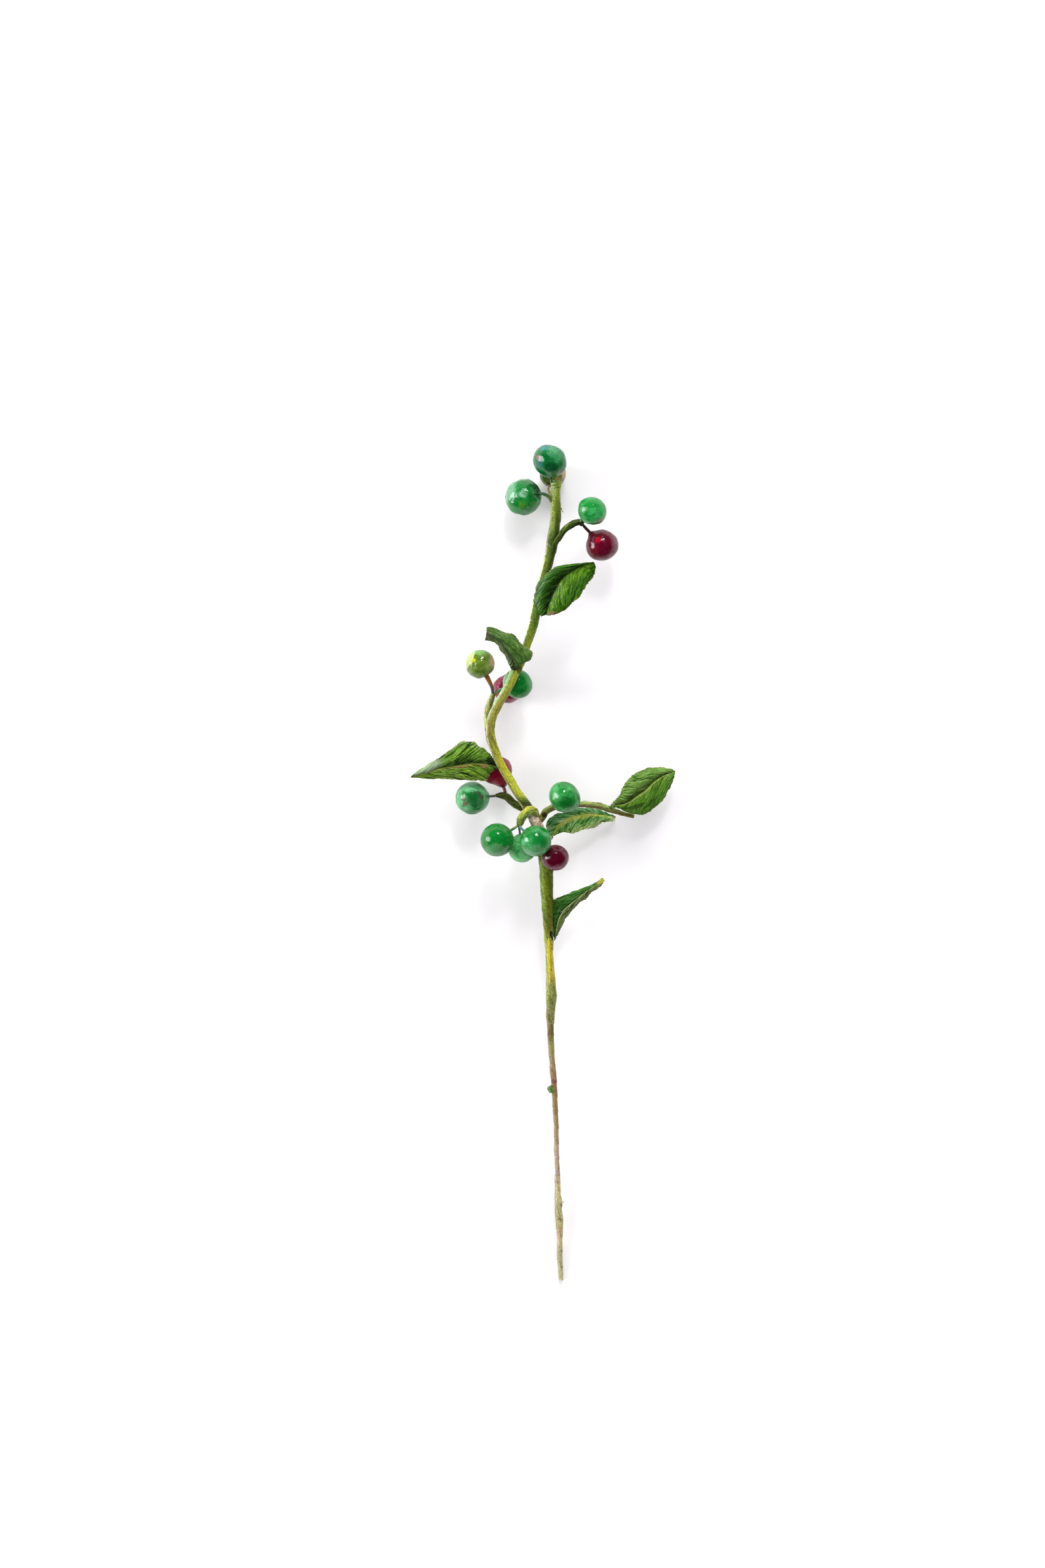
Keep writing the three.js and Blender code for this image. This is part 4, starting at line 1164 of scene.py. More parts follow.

# Berries: the lesser half width in millimetres, the directions of two bulges where there are any,
# the two colours of paint, how far the second covers the first, how high the lumps are, and the
# painted spots: direction from the berry's middle, half angle in degrees, softness in degrees,
# colour and strength. The dark spots marked below on the middle that faces up are painted shade,
# and the pale ones marked below are painted highlights and painted reflections. neck and wide are
# the height and width of the neck that the stalk enters, which is a dimple below 0.
DEEP, MINT = (2, 116, 30), (60, 158, 84)
BERRIES = {
    "tip_front": {
        "half": 5.6, "bulges": ((0.75, -0.55, 0.2), (-0.5, 0.75, 0.2)), "under": (2, 98, 40),
        "over": (64, 146, 92), "cover": 0.42, "lump": 0.14,
        "spots": [
            ((-0.7, 0.12, 0.7), 9, 7, (160, 98, 122), 0.75),
            ((-0.3, 0.75, 0.6), 14, 12, (24, 120, 128), 0.7),
            ((-0.65, -0.25, 0.7), 16, 12, (26, 100, 110), 0.6),
            # Painted shade on the lower middle that faces up.
            ((0.05, -0.5, 0.86), 22, 14, (4, 70, 32), 0.8),
            ((0.55, -0.65, 0.5), 8, 7, (140, 104, 104), 0.5),
        ],
        "neck": 0.1, "wide": 0.03,
    },
    "tip_back": {
        "half": 4.4, "under": (74, 92, 20), "over": (168, 160, 92), "cover": 0.45, "lump": 0.1,
        "spots": [
            ((-0.8, -0.3, 0.5), 24, 14, (20, 84, 28), 0.7),
            ((0.85, 0, 0.4), 26, 14, (188, 160, 124), 0.8),
        ],
        "neck": 0.1, "wide": 0.03,
    },
    "tip_left": {
        "half": 6.1, "under": (6, 118, 40), "over": (76, 166, 92), "cover": 0.36, "lump": 0.3,
        "spots": [
            ((0.75, 0.5, 0.45), 20, 16, (4, 66, 34), 0.85),
            # Next two: painted highlights, broad at the left and small in the middle.
            ((-0.8, 0.25, 0.5), 34, 22, (150, 204, 172), 0.5),
            ((0, 0.12, 0.98), 13, 12, (170, 214, 186), 0.6),
            ((-0.1, -0.5, 0.86), 13, 12, (88, 146, 34), 0.6),
            ((0.35, 0.2, 0.9), 22, 16, (10, 110, 40), 0.6),
        ],
        "neck": -0.05, "wide": 0.025,
    },
    "right_green": {
        "half": 4.6, "bulges": ((-0.65, 0.6, 0.2), (0.7, -0.55, 0.1)), "under": (18, 132, 50),
        "over": (76, 184, 104), "cover": 0.44, "lump": 0.12,
        "spots": [
            ((0.5, -0.8, 0.45), 16, 8, (128, 78, 74), 0.7),
            ((0.05, -0.95, 0.3), 12, 10, (36, 84, 60), 0.7),
            ((0.9, -0.35, 0.3), 14, 10, (120, 170, 70), 0.5),
        ],
        "neck": 0.05, "wide": 0.03,
    },
    "right_red": {
        "half": 5.2, "bulges": ((0.95, -0.1, 0), (-0.6, -0.6, 0.3)), "under": (92, 2, 30),
        "over": (112, 22, 54), "cover": 0.4, "lump": 0.12,
        "spots": [
            ((-0.3, 0.25, 0.92), 12, 9, (186, 8, 44), 0.85),
            ((-0.4, -0.3, 0.86), 15, 10, (120, 4, 34), 0.7),
            ((0.9, 0.05, 0.35), 30, 20, (112, 70, 84), 0.6),
        ],
        "neck": 0.2, "wide": 0.025,
    },
    "bend_yellow": {
        "half": 4.8, "bulges": ((-0.6, 0.75, 0.1), (0.75, 0.55, 0.1)), "under": (84, 114, 22),
        "over": (140, 158, 84), "cover": 0.44, "lump": 0.2,
        "spots": [
            ((-0.9, 0.5, 0.22), 42, 3, (200, 214, 140), 0.8),
            ((-0.42, 0.3, 0.85), 9, 4, (196, 200, 30), 0.85),
            ((0.9, 0.15, 0.35), 24, 18, (176, 140, 96), 0.7),
            ((0.62, -0.72, 0.4), 7, 6, (186, 116, 34), 0.8),
            ((0, 0.95, 0.4), 26, 18, (120, 186, 96), 0.6), ((0, -0.3, 0.95), 24, 14, (70, 104, 10), 0.6),
        ],
        "neck": -0.08, "wide": 0.06,
    },
    "bend_red": {
        "half": 4.8, "under": (116, 4, 44), "over": (160, 34, 84), "cover": 0.45, "lump": 0.34,
        # Its one spot, on the middle that faces up, is painted shade.
        "spots": [((-0.3, -0.1, 0.94), 16, 9, (60, 4, 12), 0.8)], "neck": 0.05, "wide": 0.03,
    },
    "bend_green": {
        "half": 4.9, "bulges": ((0.7, -0.65, 0), (-0.5, 0.8, 0)), "under": (6, 124, 40),
        "over": (76, 168, 88), "cover": 0.36, "lump": 0.12,
        "spots": [
            # Painted shade on the middle that faces up.
            ((0.4, -0.1, 0.9), 34, 16, (2, 112, 34), 0.75),
            # A painted highlight: the broad pale patch at the left.
            ((-0.9, 0.2, 0.4), 30, 18, (150, 206, 162), 0.6),
        ],
        "neck": 0.05, "wide": 0.03,
    },
    "side_red": {
        "half": 5.1, "bulges": ((-0.85, -0.4, 0.2), (0.6, 0.7, 0)), "under": (128, 2, 40),
        "over": (150, 12, 60), "cover": 0.4, "lump": 0.16, "spots": [], "neck": 0.34, "wide": 0.08,
    },
    "side_green": {
        "half": 5.5, "under": (8, 110, 40), "over": (116, 196, 138), "cover": 0.48, "lump": 0.16,
        "spots": [
            # The first spot, on the middle that faces up, is painted shade.
            ((0.25, -0.05, 0.96), 30, 14, (6, 82, 30), 0.8), ((0.6, 0.1, 0.8), 9, 6, (74, 58, 52), 0.75),
            ((-0.4, -0.4, 0.85), 10, 6, (104, 52, 46), 0.7),
            ((-0.5, -0.05, 0.86), 8, 6, (84, 60, 50), 0.65),
            ((0.35, 0.35, 0.86), 7, 6, (70, 66, 52), 0.6),
        ],
        "neck": 0.04, "wide": 0.03,
    },
    "fork_left": {
        "half": 5.5, "under": DEEP, "over": MINT, "cover": 0.36, "lump": 0.07,
        "spots": [
            # Painted shade on the middle that faces up.
            ((0.1, 0.25, 0.96), 32, 18, (8, 120, 44), 0.6),
            # A painted reflection: the pale crescent on the rim towards the stem's foot.
            ((-0.1, -0.8, 0.6), 40, 14, (104, 158, 108), 0.55),
        ],
        "neck": 0.03, "wide": 0.025,
    },
    "fork_back": {
        "half": 4.8, "under": (34, 150, 66), "over": (112, 200, 126), "cover": 0.55, "lump": 0.07,
        "spots": [], "neck": 0.03, "wide": 0.025,
    },
    "fork_front": {
        "half": 5.1, "under": DEEP, "over": (84, 178, 112), "cover": 0.42, "lump": 0.08,
        "spots": [
            # Painted shade on the middle that faces up.
            ((0.1, 0.1, 0.98), 34, 16, (12, 116, 48), 0.6),
            # A painted reflection: the pale crescent on the rim towards the stem's foot.
            ((0, -0.8, 0.6), 38, 16, (108, 166, 122), 0.5),
        ],
        "neck": 0.03, "wide": 0.025,
    },
    "fork_red": {
        "half": 4.3, "under": (76, 0, 24), "over": (104, 4, 40), "cover": 0.36, "lump": 0.08,
        "spots": [
            # A painted reflection: the pink crescent on the rim towards the stem's foot.
            ((0.1, -0.85, 0.5), 26, 14, (138, 72, 94), 0.6),
            # Painted shade on the middle that faces up.
            ((-0.1, 0.2, 0.97), 24, 16, (76, 4, 30), 0.6),
        ],
        "neck": 0.03, "wide": 0.025,
    },
    "branch_green": {
        "half": 5.1, "bulges": ((-0.7, 0.6, 0), (0.75, -0.4, 0)), "under": DEEP,
        "over": (68, 164, 90), "cover": 0.46, "lump": 0.12,
        # Its one spot, on the middle that faces up, is painted shade.
        "spots": [((0.05, -0.35, 0.93), 26, 12, (6, 96, 30), 0.75)], "neck": 0.03, "wide": 0.025,
    },
}
# Berry stalks: the colour at the twig and at the berry.
STALK_PAINTS = {
    "tip_front": ((60, 100, 50), (14, 92, 64)), "tip_back": ((206, 192, 40), (196, 160, 120)),
    "tip_left": ((96, 116, 40), (34, 96, 56)), "right_green": ((52, 76, 24), (40, 110, 50)),
    "right_red": ((62, 26, 24), (92, 12, 34)), "bend_yellow": ((70, 82, 76), (142, 88, 16)),
    "bend_red": ((110, 70, 60), (120, 24, 50)), "bend_green": ((100, 120, 70), (96, 160, 110)),
    "side_red": ((88, 40, 40), (120, 16, 44)), "side_green": ((74, 84, 60), (70, 120, 110)),
    "fork_left": ((150, 170, 90), (66, 118, 92)), "fork_back": ((120, 150, 110), (72, 130, 140)),
    "fork_front": ((112, 140, 110), (64, 128, 160)), "fork_red": ((96, 60, 44), (92, 14, 34)),
    "branch_green": ((70, 90, 40), (40, 110, 60)),
}


# The stage: the middle of the view in millimetres from the fork, then sizes in metres. Lamps: place
# from the middle of the view, width and height, power in watts, and whether the varnish shows them.
VIEW_MIDDLE = (-4.18, 11.44, 0)
CAMERA_HEIGHT = 1.2357
FLOOR_REACH = 3.0
FLOOR_GAP = 0.00002
FLOOR_GLOW = 0.13
ROOM_WHITE = (1.0, 0.985, 1.0, 1.0)
ROOM_LIGHT = 0.58
WINDOW_SIDE = (-0.45, 0.89, 0.0)
LAMPS = {
    "soft_box_left": ((-2.6, 0.2, 1.1), (1.3, 1.6), 58.0, True),
    "soft_box_top": ((0.2, 1.7, 1.7), (0.36, 0.36), 11.0, True),
    "broad_fill": ((0.4, 2.6, 1.3), (2.6, 1.3), 62.0, False),
}


def by_y(graph, low, high):
    """The height up the sprig between two values in millimetres from the fork, from 0 to 1."""
    here = graph.part(graph.get("ShaderNodeTexCoord", output="Object"), 1)
    return graph.span(here, place(0, low, 0).y, place(0, high, 0).y, kind="LINEAR")


def ramp_by_y(graph, stops):
    """A colour that changes up the sprig, from stops: y in millimetres and three display values."""
    stops = sorted(stops)
    low, high = stops[0][0], stops[-1][0]
    return ramp(graph, by_y(graph, low, high), [((y - low) / (high - low), tone(*c)) for y, *c in stops])


def ramp_across(graph, value, stops):
    """A colour that changes from -1 to 1 over a value."""
    return ramp(
        graph, graph.span(value, -1, 1, kind="LINEAR"), [((x + 1) / 2, tone(*c)) for x, *c in stops],
    )


def bark_material(node, paint, colours, seed=None):
    """Painted crepe paper round a stem: two sides partly in painted light and shade, a pale
    edge partly in painted highlight, painted shade in the creases, brushed patches and wrap lines.
    """
    material, graph, surface = new_material("bark of " + words(node), seed or seed_of(node))
    left = attribute(graph, "left")
    skin = attribute(graph, "skin", "Vector")
    # Two sides: partly two-tone paint, partly painted light on the left, painted shade on the right.
    both = graph.mix(
        graph.span(left, -0.55, 0.5), ramp_by_y(graph, paint["right"]), ramp_by_y(graph, paint["left"]),
    )
    # The pale left edge: partly paint, partly a painted highlight.
    ragged = graph.noise(skin, 1.6, 2.0, shift=7) * 0.35 + left
    colour = graph.mix(graph.span(ragged, 0.86, 1.0), both, ramp_by_y(graph, paint["edge"]))
    streaks = use_group(graph, "brush streaks", Vector=skin, Stretch=(5.5, 5.5, 0.75))
    patches = use_group(
        graph, "paint patches", Vector=graph.vector("MULTIPLY", skin, (1.5, 1.5, 0.2)), Scale=1.0,
        shift=2, Cover=paint["cover"] + 0.12, Softness=0.06,
    )
    brushed = patches["Mask"] * graph.span(streaks["Height"], 0.36, 0.56)
    colour = graph.over(colour, brushed * 0.9, paint["patch"])
    # Painted highlight: a pale colour on the raised crests of the brush streaks.
    pale = graph.span(streaks["Height"], 0.55, 0.72)
    colour = graph.mix(pale * 0.08, colour, tuple(colours.bark_crest_highlight) + (1.0,))
    # Painted shade in the creases of the paper.
    groove = 1 - graph.span(attribute(graph, "crease"), 0.34, 0.5)
    colour = graph.over(colour, groove * 0.55, paint["patch"])
    saw = attribute(graph, "saw")
    line = 1 - graph.span(saw, 0.02, 0.08)
    line = line * graph.span(graph.noise(skin, 0.7, 2.0, shift=8), 0.45, 0.62, 0.0, 0.6)
    colour = graph.over(colour, line, paint["line"])
    grit = graph.noise(graph.vector("MULTIPLY", skin, (3.6, 3.6, 1.9)), 1.0, 4.0, 0.72, shift=13)
    grit = graph.span(grit, 0.32, 0.68, 0.4, 1.6, kind="LINEAR")
    colour = graph.times(colour, grit, 0.9)
    here = graph.get("ShaderNodeTexCoord", output="Object")
    for x, y, wide, long, spot, strength in paint.get("spots", ()):
        away = graph.vector("SUBTRACT", here, tuple(place(x, y, 0)))
        reach = graph.vector(
            "LENGTH", graph.vector("MULTIPLY", away, (1 / (wide * MM), 1 / (long * MM), 0)),
        )
        reach = (streaks["Height"] - 0.5) * 1.8 + reach
        mask = 1 - graph.span(reach, 0.7, 1.2)
        colour = graph.over(colour, mask * strength, spot)
    # Crumpled paper at the fork, its folds in painted light and painted shade.
    if "crumple" in paint:
        low, high, light, dark = paint["crumple"]
        above, below = by_y(graph, low - 1, low), 1 - by_y(graph, high, high + 1)
        folds = graph.noise(
            graph.vector("MULTIPLY", skin, (1.7, 1.7, 1.0)), 1.0, 4.0, 0.65, shift=15,
        )
        folded = graph.mix(graph.span(folds, 0.38, 0.6), tone(*dark), tone(*light))
        colour = graph.mix(above * below, colour, folded)
    brushed = dict(Vector=skin, Scale=1.2, shift=4, Smooth=0.36, Dull=0.6, Thin=0.15, Thick=0.6)
    varnished(
        graph, surface, (streaks["Height"], BARK_GRAIN, 0.8), brushed, Base_Color=colour,
        Specular_IOR_Level=0.1, Coat_Roughness=0.22)
    return material


def leaf_material(node, paint, colours, seed=None):
    """Painted and varnished pleated paper: bands across the leaf, painted shade in the grooves and
    painted highlights on the crests.
    """
    material, graph, surface = new_material("paper of " + words(node), seed or seed_of(node))
    across, ridge, fine = (attribute(graph, key) for key in ("across", "ridge", "fine"))
    grain = attribute(graph, "grain", "Vector")
    waver = (graph.noise(grain, 0.7, 2.0) - 0.5) * 0.35
    wavered = across + waver * graph.span(abs(across), 0.0, 0.25)
    colour = ramp_across(graph, wavered, paint["across"])
    patches = use_group(
        graph, "paint patches", Vector=graph.vector("MULTIPLY", grain, (1.25, 1.0, 0.26)), Scale=0.9,
        shift=1, Cover=paint["cover"], Softness=0.07,
    )
    colour = graph.over(colour, patches["Mask"] * 0.7, paint["patch"])
    shadows = use_group(
        graph, "paint patches", Vector=graph.vector("MULTIPLY", grain, (1.5, 1.0, 0.24)), Scale=1.0,
        shift=11, Cover=0.46, Softness=0.07,
    )
    streaks = use_group(graph, "brush streaks", Vector=grain, Stretch=(4.0, 1.0, 0.35), shift=2)
    hairs = use_group(graph, "brush streaks", Vector=grain, Stretch=(6.5, 1.0, 0.5), shift=3)
    # Painted highlights on the pleat crests.
    crest = graph.span(ridge, 0.5, 1.0) * hairs["Mask"]
    colour = graph.over(colour, crest * paint["glints"], paint["crest"])
    # Painted shade in the pleat grooves and fine grooves, with random dark blots in the same colour.
    groove = 1 - graph.span(ridge, 0.05, 0.45)
    fine_groove = 1 - graph.span(hairs["Height"], 0.38, 0.52)
    blot = shadows["Mask"] * (1 - streaks["Mask"] * 0.7)
    dark = graph.math("MAXIMUM", groove * paint.get("grooves", 0.75), fine_groove * 0.4)
    dark = graph.math("MAXIMUM", dark, blot * paint["blots"])
    colour = graph.over(colour, dark, paint["groove"])
    grit = graph.noise(graph.vector("MULTIPLY", grain, (4.2, 1.0, 0.9)), 1.0, 4.0, 0.72, shift=13)
    grit = graph.span(grit, 0.34, 0.66, 0.25, 1.8, kind="LINEAR")
    colour = graph.times(colour, grit, 0.8)
    share = attribute(graph, "share")
    for at_share, at_across, long, wide, spot, strength in paint.get("marks", ()):
        place_off = graph.join((share - at_share) / long, (across - at_across) / wide, 0.0)
        reach = (hairs["Height"] - 0.5) * 2 + graph.vector("LENGTH", place_off)
        mask = 1 - graph.span(reach, 0.8, 1.2)
        colour = graph.over(colour, mask * strength, spot)
    near_rib = 1 - graph.span(abs(across), 0.015, 0.06)
    colour = graph.over(colour, near_rib * 0.8, paint["rib"])
    worn = fine * 0.08 + abs(across)
    colour = graph.over(colour, graph.span(worn, 0.99, 1.035) * 0.75, paint["rim"])
    shade = ramp(graph, share, [(s, (v, v, v, 1.0)) for s, v in paint["shade"]])
    colour = graph.mix(1.0, colour, shade, "MULTIPLY")
    colour = graph.mix(attribute(graph, "under") * 0.4, colour, tuple(colours.leaf_under) + (1.0,))
    brushed = dict(
        Vector=graph.vector("MULTIPLY", grain, (2.5, 1.0, 0.5)), Scale=1.0, shift=4, Smooth=0.3,
        Dull=0.55, Thin=0.25, Thick=paint.get("varnish", 0.9),
    )
    varnished(
        graph, surface, (hairs["Height"], LEAF_GRAIN, 1.0), brushed, Base_Color=colour,
        Specular_IOR_Level=0.1, Coat_Roughness=0.2)
    return material


def berry_material(key, paint, varnish_roughness):
    """Layered paint under a clear varnish: a deep colour, a milky one over it, and painted
    spots, some of them painted light and shade, and painted shade where the stalk enters.
    """
    material, graph, surface = new_material("paint of berry " + words(key), seed_of(key))
    skin = attribute(graph, "skin", "Vector")
    patches = use_group(
        graph, "paint patches", Vector=skin, Scale=1.1, Cover=paint["cover"], Softness=0.14,
        Under=tone(*paint["under"]), Over=tone(*paint["over"]),
    )
    colour = patches["Color"]
    drift = graph.noise(skin, 3.2, 3.0, 0.6, shift=5)
    for direction, half_angle, softness, spot, strength in paint["spots"]:
        towards = Vector(direction).normalized()
        facing = graph.vector("DOT_PRODUCT", skin, tuple(towards))
        angle = graph.math("ARCCOSINE", graph.math("MINIMUM", facing, 0.9999)) * (180 / math.pi)
        angle = (drift - 0.5) * (14.0 + softness) + angle
        mask = 1 - graph.span(angle, half_angle - softness / 2, half_angle + softness / 2)
        colour = graph.over(colour, mask * strength, spot)
    streaks = use_group(graph, "brush streaks", Vector=skin, Stretch=(6.0, 6.0, 6.0), shift=3)
    milk = streaks["Mask"] * 0.05
    colour = graph.over(colour, milk, paint["over"])
    darker = [value // 2 for value in paint["under"]]
    speck = 1 - graph.span(graph.noise(skin, 7.0, 2.0, shift=9), 0.24, 0.34)
    colour = graph.over(colour, speck * 0.5, darker)
    stipple = graph.span(graph.noise(skin, 11.0, 3.0, 0.7, shift=12), 0.3, 0.7, 0.74, 1.24)
    colour = graph.times(colour, stipple)
    # Painted shade where the stalk enters the berry.
    stalk_entry_shade = graph.span(attribute(graph, "facing"), 0.955, 0.99)
    colour = graph.over(colour, stalk_entry_shade * 0.55, darker)
    ripple = graph.noise(skin, 5.0, 3.0, 0.55, shift=8)
    brushed = dict(Vector=skin, Scale=2.2, shift=6, Smooth=0.3, Dull=0.5, Thin=0.75, Thick=1.0)
    bump = varnished(
        graph, surface, (ripple, BERRY_RIPPLE, 0.4), brushed, Base_Color=colour, Specular_IOR_Level=0.03,
        Coat_IOR=1.62, Coat_Roughness=varnish_roughness)
    graph.feed(surface.inputs["Coat Normal"], bump)
    return material


def stalk_material(name, near, far, seed):
    """A thin painted stalk whose paint changes from the twig to the berry."""
    material, graph, surface = new_material("paint of " + words(name), seed)
    skin = attribute(graph, "skin", "Vector")
    share = attribute(graph, "share")
    streaks = use_group(graph, "brush streaks", Vector=skin, Stretch=(2.5, 2.5, 1.2))
    moved = (streaks["Height"] - 0.5) * 0.5 + share
    colour = graph.mix(graph.span(moved, 0.25, 0.7), tone(*near), tone(*far))
    colour = graph.over(colour, streaks["Mask"] * 0.35, [value // 2 for value in far])
    finish_surface(
        graph, surface, (streaks["Height"], STALK_GRAIN, 0.7), Base_Color=colour, Roughness=0.38,
        Coat_Weight=0.5, Coat_Roughness=0.15)
    return material


# ---------------------------------------------------------------- pieces

def fit_to(mesh, low, high):
    """Scales a mesh so that it fills a box."""
    for axis in range(3):
        values = [vertex.co[axis] for vertex in mesh.vertices]
        least, most = min(values), max(values)
        size = (high[axis] - low[axis]) / (most - least)
        for vertex in mesh.vertices:
            vertex.co[axis] = low[axis] + (vertex.co[axis] - least) * size


def make_piece(name, node, mesh, tree_name, values, box=None):
    """Runs a tree on a mesh, keeps the result as a plain mesh and lets it stand for a frame node, if
    it has one."""
    draft = bpy.data.objects.new(name + "_draft", mesh)
    bpy.context.scene.collection.objects.link(draft)
    modifier = draft.modifiers.new(tree_name, "NODES")
    tree = bpy.data.node_groups[tree_name]
    modifier.node_group = tree
    sockets = {item.name: item.identifier for item in tree.interface.items_tree if item.in_out == "INPUT"}
    for label, value in values.items():
        modifier[sockets[label]] = value
    bpy.context.view_layer.update()
    seen = draft.evaluated_get(bpy.context.evaluated_depsgraph_get())
    result = bpy.data.meshes.new_from_object(seen)
    bpy.data.objects.remove(draft)
    if not result.polygons:
        raise RuntimeError(f"{name} came out empty")
    if box is not None:
        fit_to(result, *box)
    for vertex in result.vertices:
        vertex.co.z = max(vertex.co.z, 0.0)  # nothing goes under the floor
    result.name = name
    result.materials.clear()
    result.materials.append(values["Material"])
    piece = bpy.data.objects.new(name, result)
    bpy.context.scene.collection.objects.link(piece)
    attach(piece, BODY)
    if node:
        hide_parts(node)
    return piece


def make_rod(piece_name, node, path, step, sides, material, sizes, changes=None):
    """A rod bound in paper, from a path of points with a radius each."""
    values = {
        "Sides": sides, "Wrap Pitch": sizes.wrap_pitch, "Wrap Step": sizes.wrap_step,
        "Crease Depth": sizes.crease_depth, "Crease Count": 4.0, "Crease Twist": 160.0,
        "Lump Height": sizes.lump_height, "Lump Size": 420.0, "Seed": seed_of(node or piece_name),
        "Material": material,
    }
    values.update(changes or {})
    return make_piece(piece_name, node, path_mesh(piece_name, path, step), "bound rod", values)


def make_sheet(piece_name, node, mesh, grain, material, sizes, changes=None):
    """A pleated paper sheet, from a folded sheet of points."""
    values = {
        "Left Grain": math.radians(grain[0]), "Right Grain": math.radians(grain[1]),
        "Pleat Width": sizes.pleat_width / MM, "Pleat Depth": sizes.pleat_depth,
        "Fine Depth": sizes.pleat_depth * 0.4, "Ragged Edge": sizes.ragged_edge, "Buckle": sizes.buckle,
        "Thickness": sizes.paper, "Seed": seed_of(node), "Material": material,
    }
    values.update(changes or {})
    return make_piece(piece_name, node, mesh, "pleated sheet", values)


def length_setting(name, description, default, least=0.0):
    """A length in metres that the panel shows."""
    return FloatProperty(
        name=name, description=description, default=default, min=least, subtype="DISTANCE", unit="LENGTH",
        precision=5)


def colour_setting(name, description, default):
    """A colour that the panel shows."""
    return FloatVectorProperty(
        name=name, description=description, default=default, size=3, subtype="COLOR", min=0, max=1)


class SprigSizes(bpy.types.PropertyGroup):
    """Sizes of the sprig's handwork."""

    wrap_pitch: length_setting(
        "Wrap Pitch", "Length of stem that one turn of the paper strip covers", 0.0052, 0.001)
    wrap_step: length_setting("Wrap Step", "Height of the strip's edge over the turn below", 0.00013)
    crease_depth: length_setting(
        "Crease Depth", "Depth of the lengthwise creases in the stem's paper", 0.0004)
    lump_height: length_setting("Lump Height", "Height of the lumps under the stem's paper", 0.0002)
    pleat_width: length_setting("Pleat Width", "Distance from one leaf pleat to the next", 0.0007, 0.0002)
    pleat_depth: length_setting("Pleat Depth", "Height of the leaf pleats", 0.0002)
    ragged_edge: length_setting("Ragged Edge", "Reach of the teeth at a leaf's edge", 0.0005)
    buckle: length_setting("Buckle", "Height of the soft waves in a leaf", 0.0004)
    paper: length_setting("Paper Thickness", "Thickness of a painted leaf", 0.00025, 0.00005)
    leaf_grid: FloatProperty(
        name="Leaf Grid", description="Spacing of a leaf's points, in millimetres", default=0.15, min=0.1)
    rod_sides: IntProperty(
        name="Stem Sides", description="Points round a stem", default=48, min=12, max=96,
    )
    varnish: FloatProperty(
        name="Berry Varnish Roughness", description="Roughness of the berries' clear varnish",
        default=0.12, min=0.0, max=1.0, subtype="FACTOR")


class SprigColours(bpy.types.PropertyGroup):
    """Colours that the sprig's pieces share."""

    # A painted highlight on the crests of the stem's paper.
    bark_crest_highlight: colour_setting(
        "Bark Light", "Pale paint on the crests of the stem's paper", tone(196, 202, 120)[:3])
    leaf_under: colour_setting(
        "Leaf Underside", "Paint on the underside of the leaves", tone(84, 112, 52)[:3])
    floor: colour_setting("Floor", "The pale floor", (0.9, 0.88, 0.905))


class SPRIG_OT_stems(bpy.types.Operator):
    """Builds the stem's three bound lengths"""
    bl_idname = "sprig.stems"
    bl_label = "Bound Stem"

    def execute(self, context):
        sizes, colours = context.scene.sprig_sizes, context.scene.sprig_colours
        for node, path in STEMS.items():
            bark = bark_material(node, BARKS[node], colours)
            make_rod("bound_" + node, node, path, STEM_STEP, sizes.rod_sides, bark, sizes)
        return {"FINISHED"}


class SPRIG_OT_twigs(bpy.types.Operator):
    """Builds the five bound side twigs"""
    bl_idname = "sprig.twigs"
    bl_label = "Side Twigs"

    def execute(self, context):
        sizes, colours = context.scene.sprig_sizes, context.scene.sprig_colours
        for node, path in TWIGS.items():
            bark = bark_material(node, BARKS[node], colours)
            changes = FOLDED_TWIG if node == "twig_middle" else {}
            make_rod(
                "bound_" + node, node, path, TWIG_STEP, sizes.rod_sides, bark, sizes, changes,
            )
        return {"FINISHED"}


class SPRIG_OT_leaves(bpy.types.Operator):
    """Builds the six pleated paper leaves"""
    bl_idname = "sprig.leaves"
    bl_label = "Pleated Leaves"

    def execute(self, context):
        sizes, colours = context.scene.sprig_sizes, context.scene.sprig_colours
        for node, leaf in LEAVES.items():
            name = "pleated_" + node
            mesh = leaf_mesh(name, leaf, sizes.leaf_grid)
            paper = leaf_material(node, LEAF_PAINTS[node], colours)
            make_sheet(name, node, mesh, leaf["grain"], paper, sizes)
        return {"FINISHED"}


class SPRIG_OT_leaf_stalks(bpy.types.Operator):
    """Builds the leaf stalks bound along the stem, the one at the fork, and the bud scale"""
    bl_idname = "sprig.leaf_stalks"
    bl_label = "Leaf Stalks"

    def execute(self, context):
        sizes, colours = context.scene.sprig_sizes, context.scene.sprig_colours
        for node, strip in BOUND_STALKS.items():
            name = "flat_" + node
            mesh = strip_mesh(name, strip, STRIP_STEP)
            paper = leaf_material(node, LEAF_PAINTS[node], colours)
            make_sheet(name, node, mesh, STRIP_GRAIN, paper, sizes, STRIP_PAPER)
        name = "green_bud_scale"
        mesh = leaf_mesh(name, BUD_SCALE, SMALL_STEP)
        paper = leaf_material("bud_scale", LEAF_PAINTS["bud_scale"], colours, BUD_SEED)
        make_sheet(name, "bud_scale", mesh, BUD_SCALE["grain"], paper, sizes, BUD_PAPER)
        bark = bark_material("leaf_stalk", BARKS["twig_right"], colours, FORK_STALK_SEED)
        make_rod(
            "round_leaf_stalk_fork", "leaf_stalk_fork", LEAF_STALK_FORK, SMALL_STEP,
            FORK_STALK_SIDES, bark, sizes, FORK_STALK_BINDING)
        return {"FINISHED"}


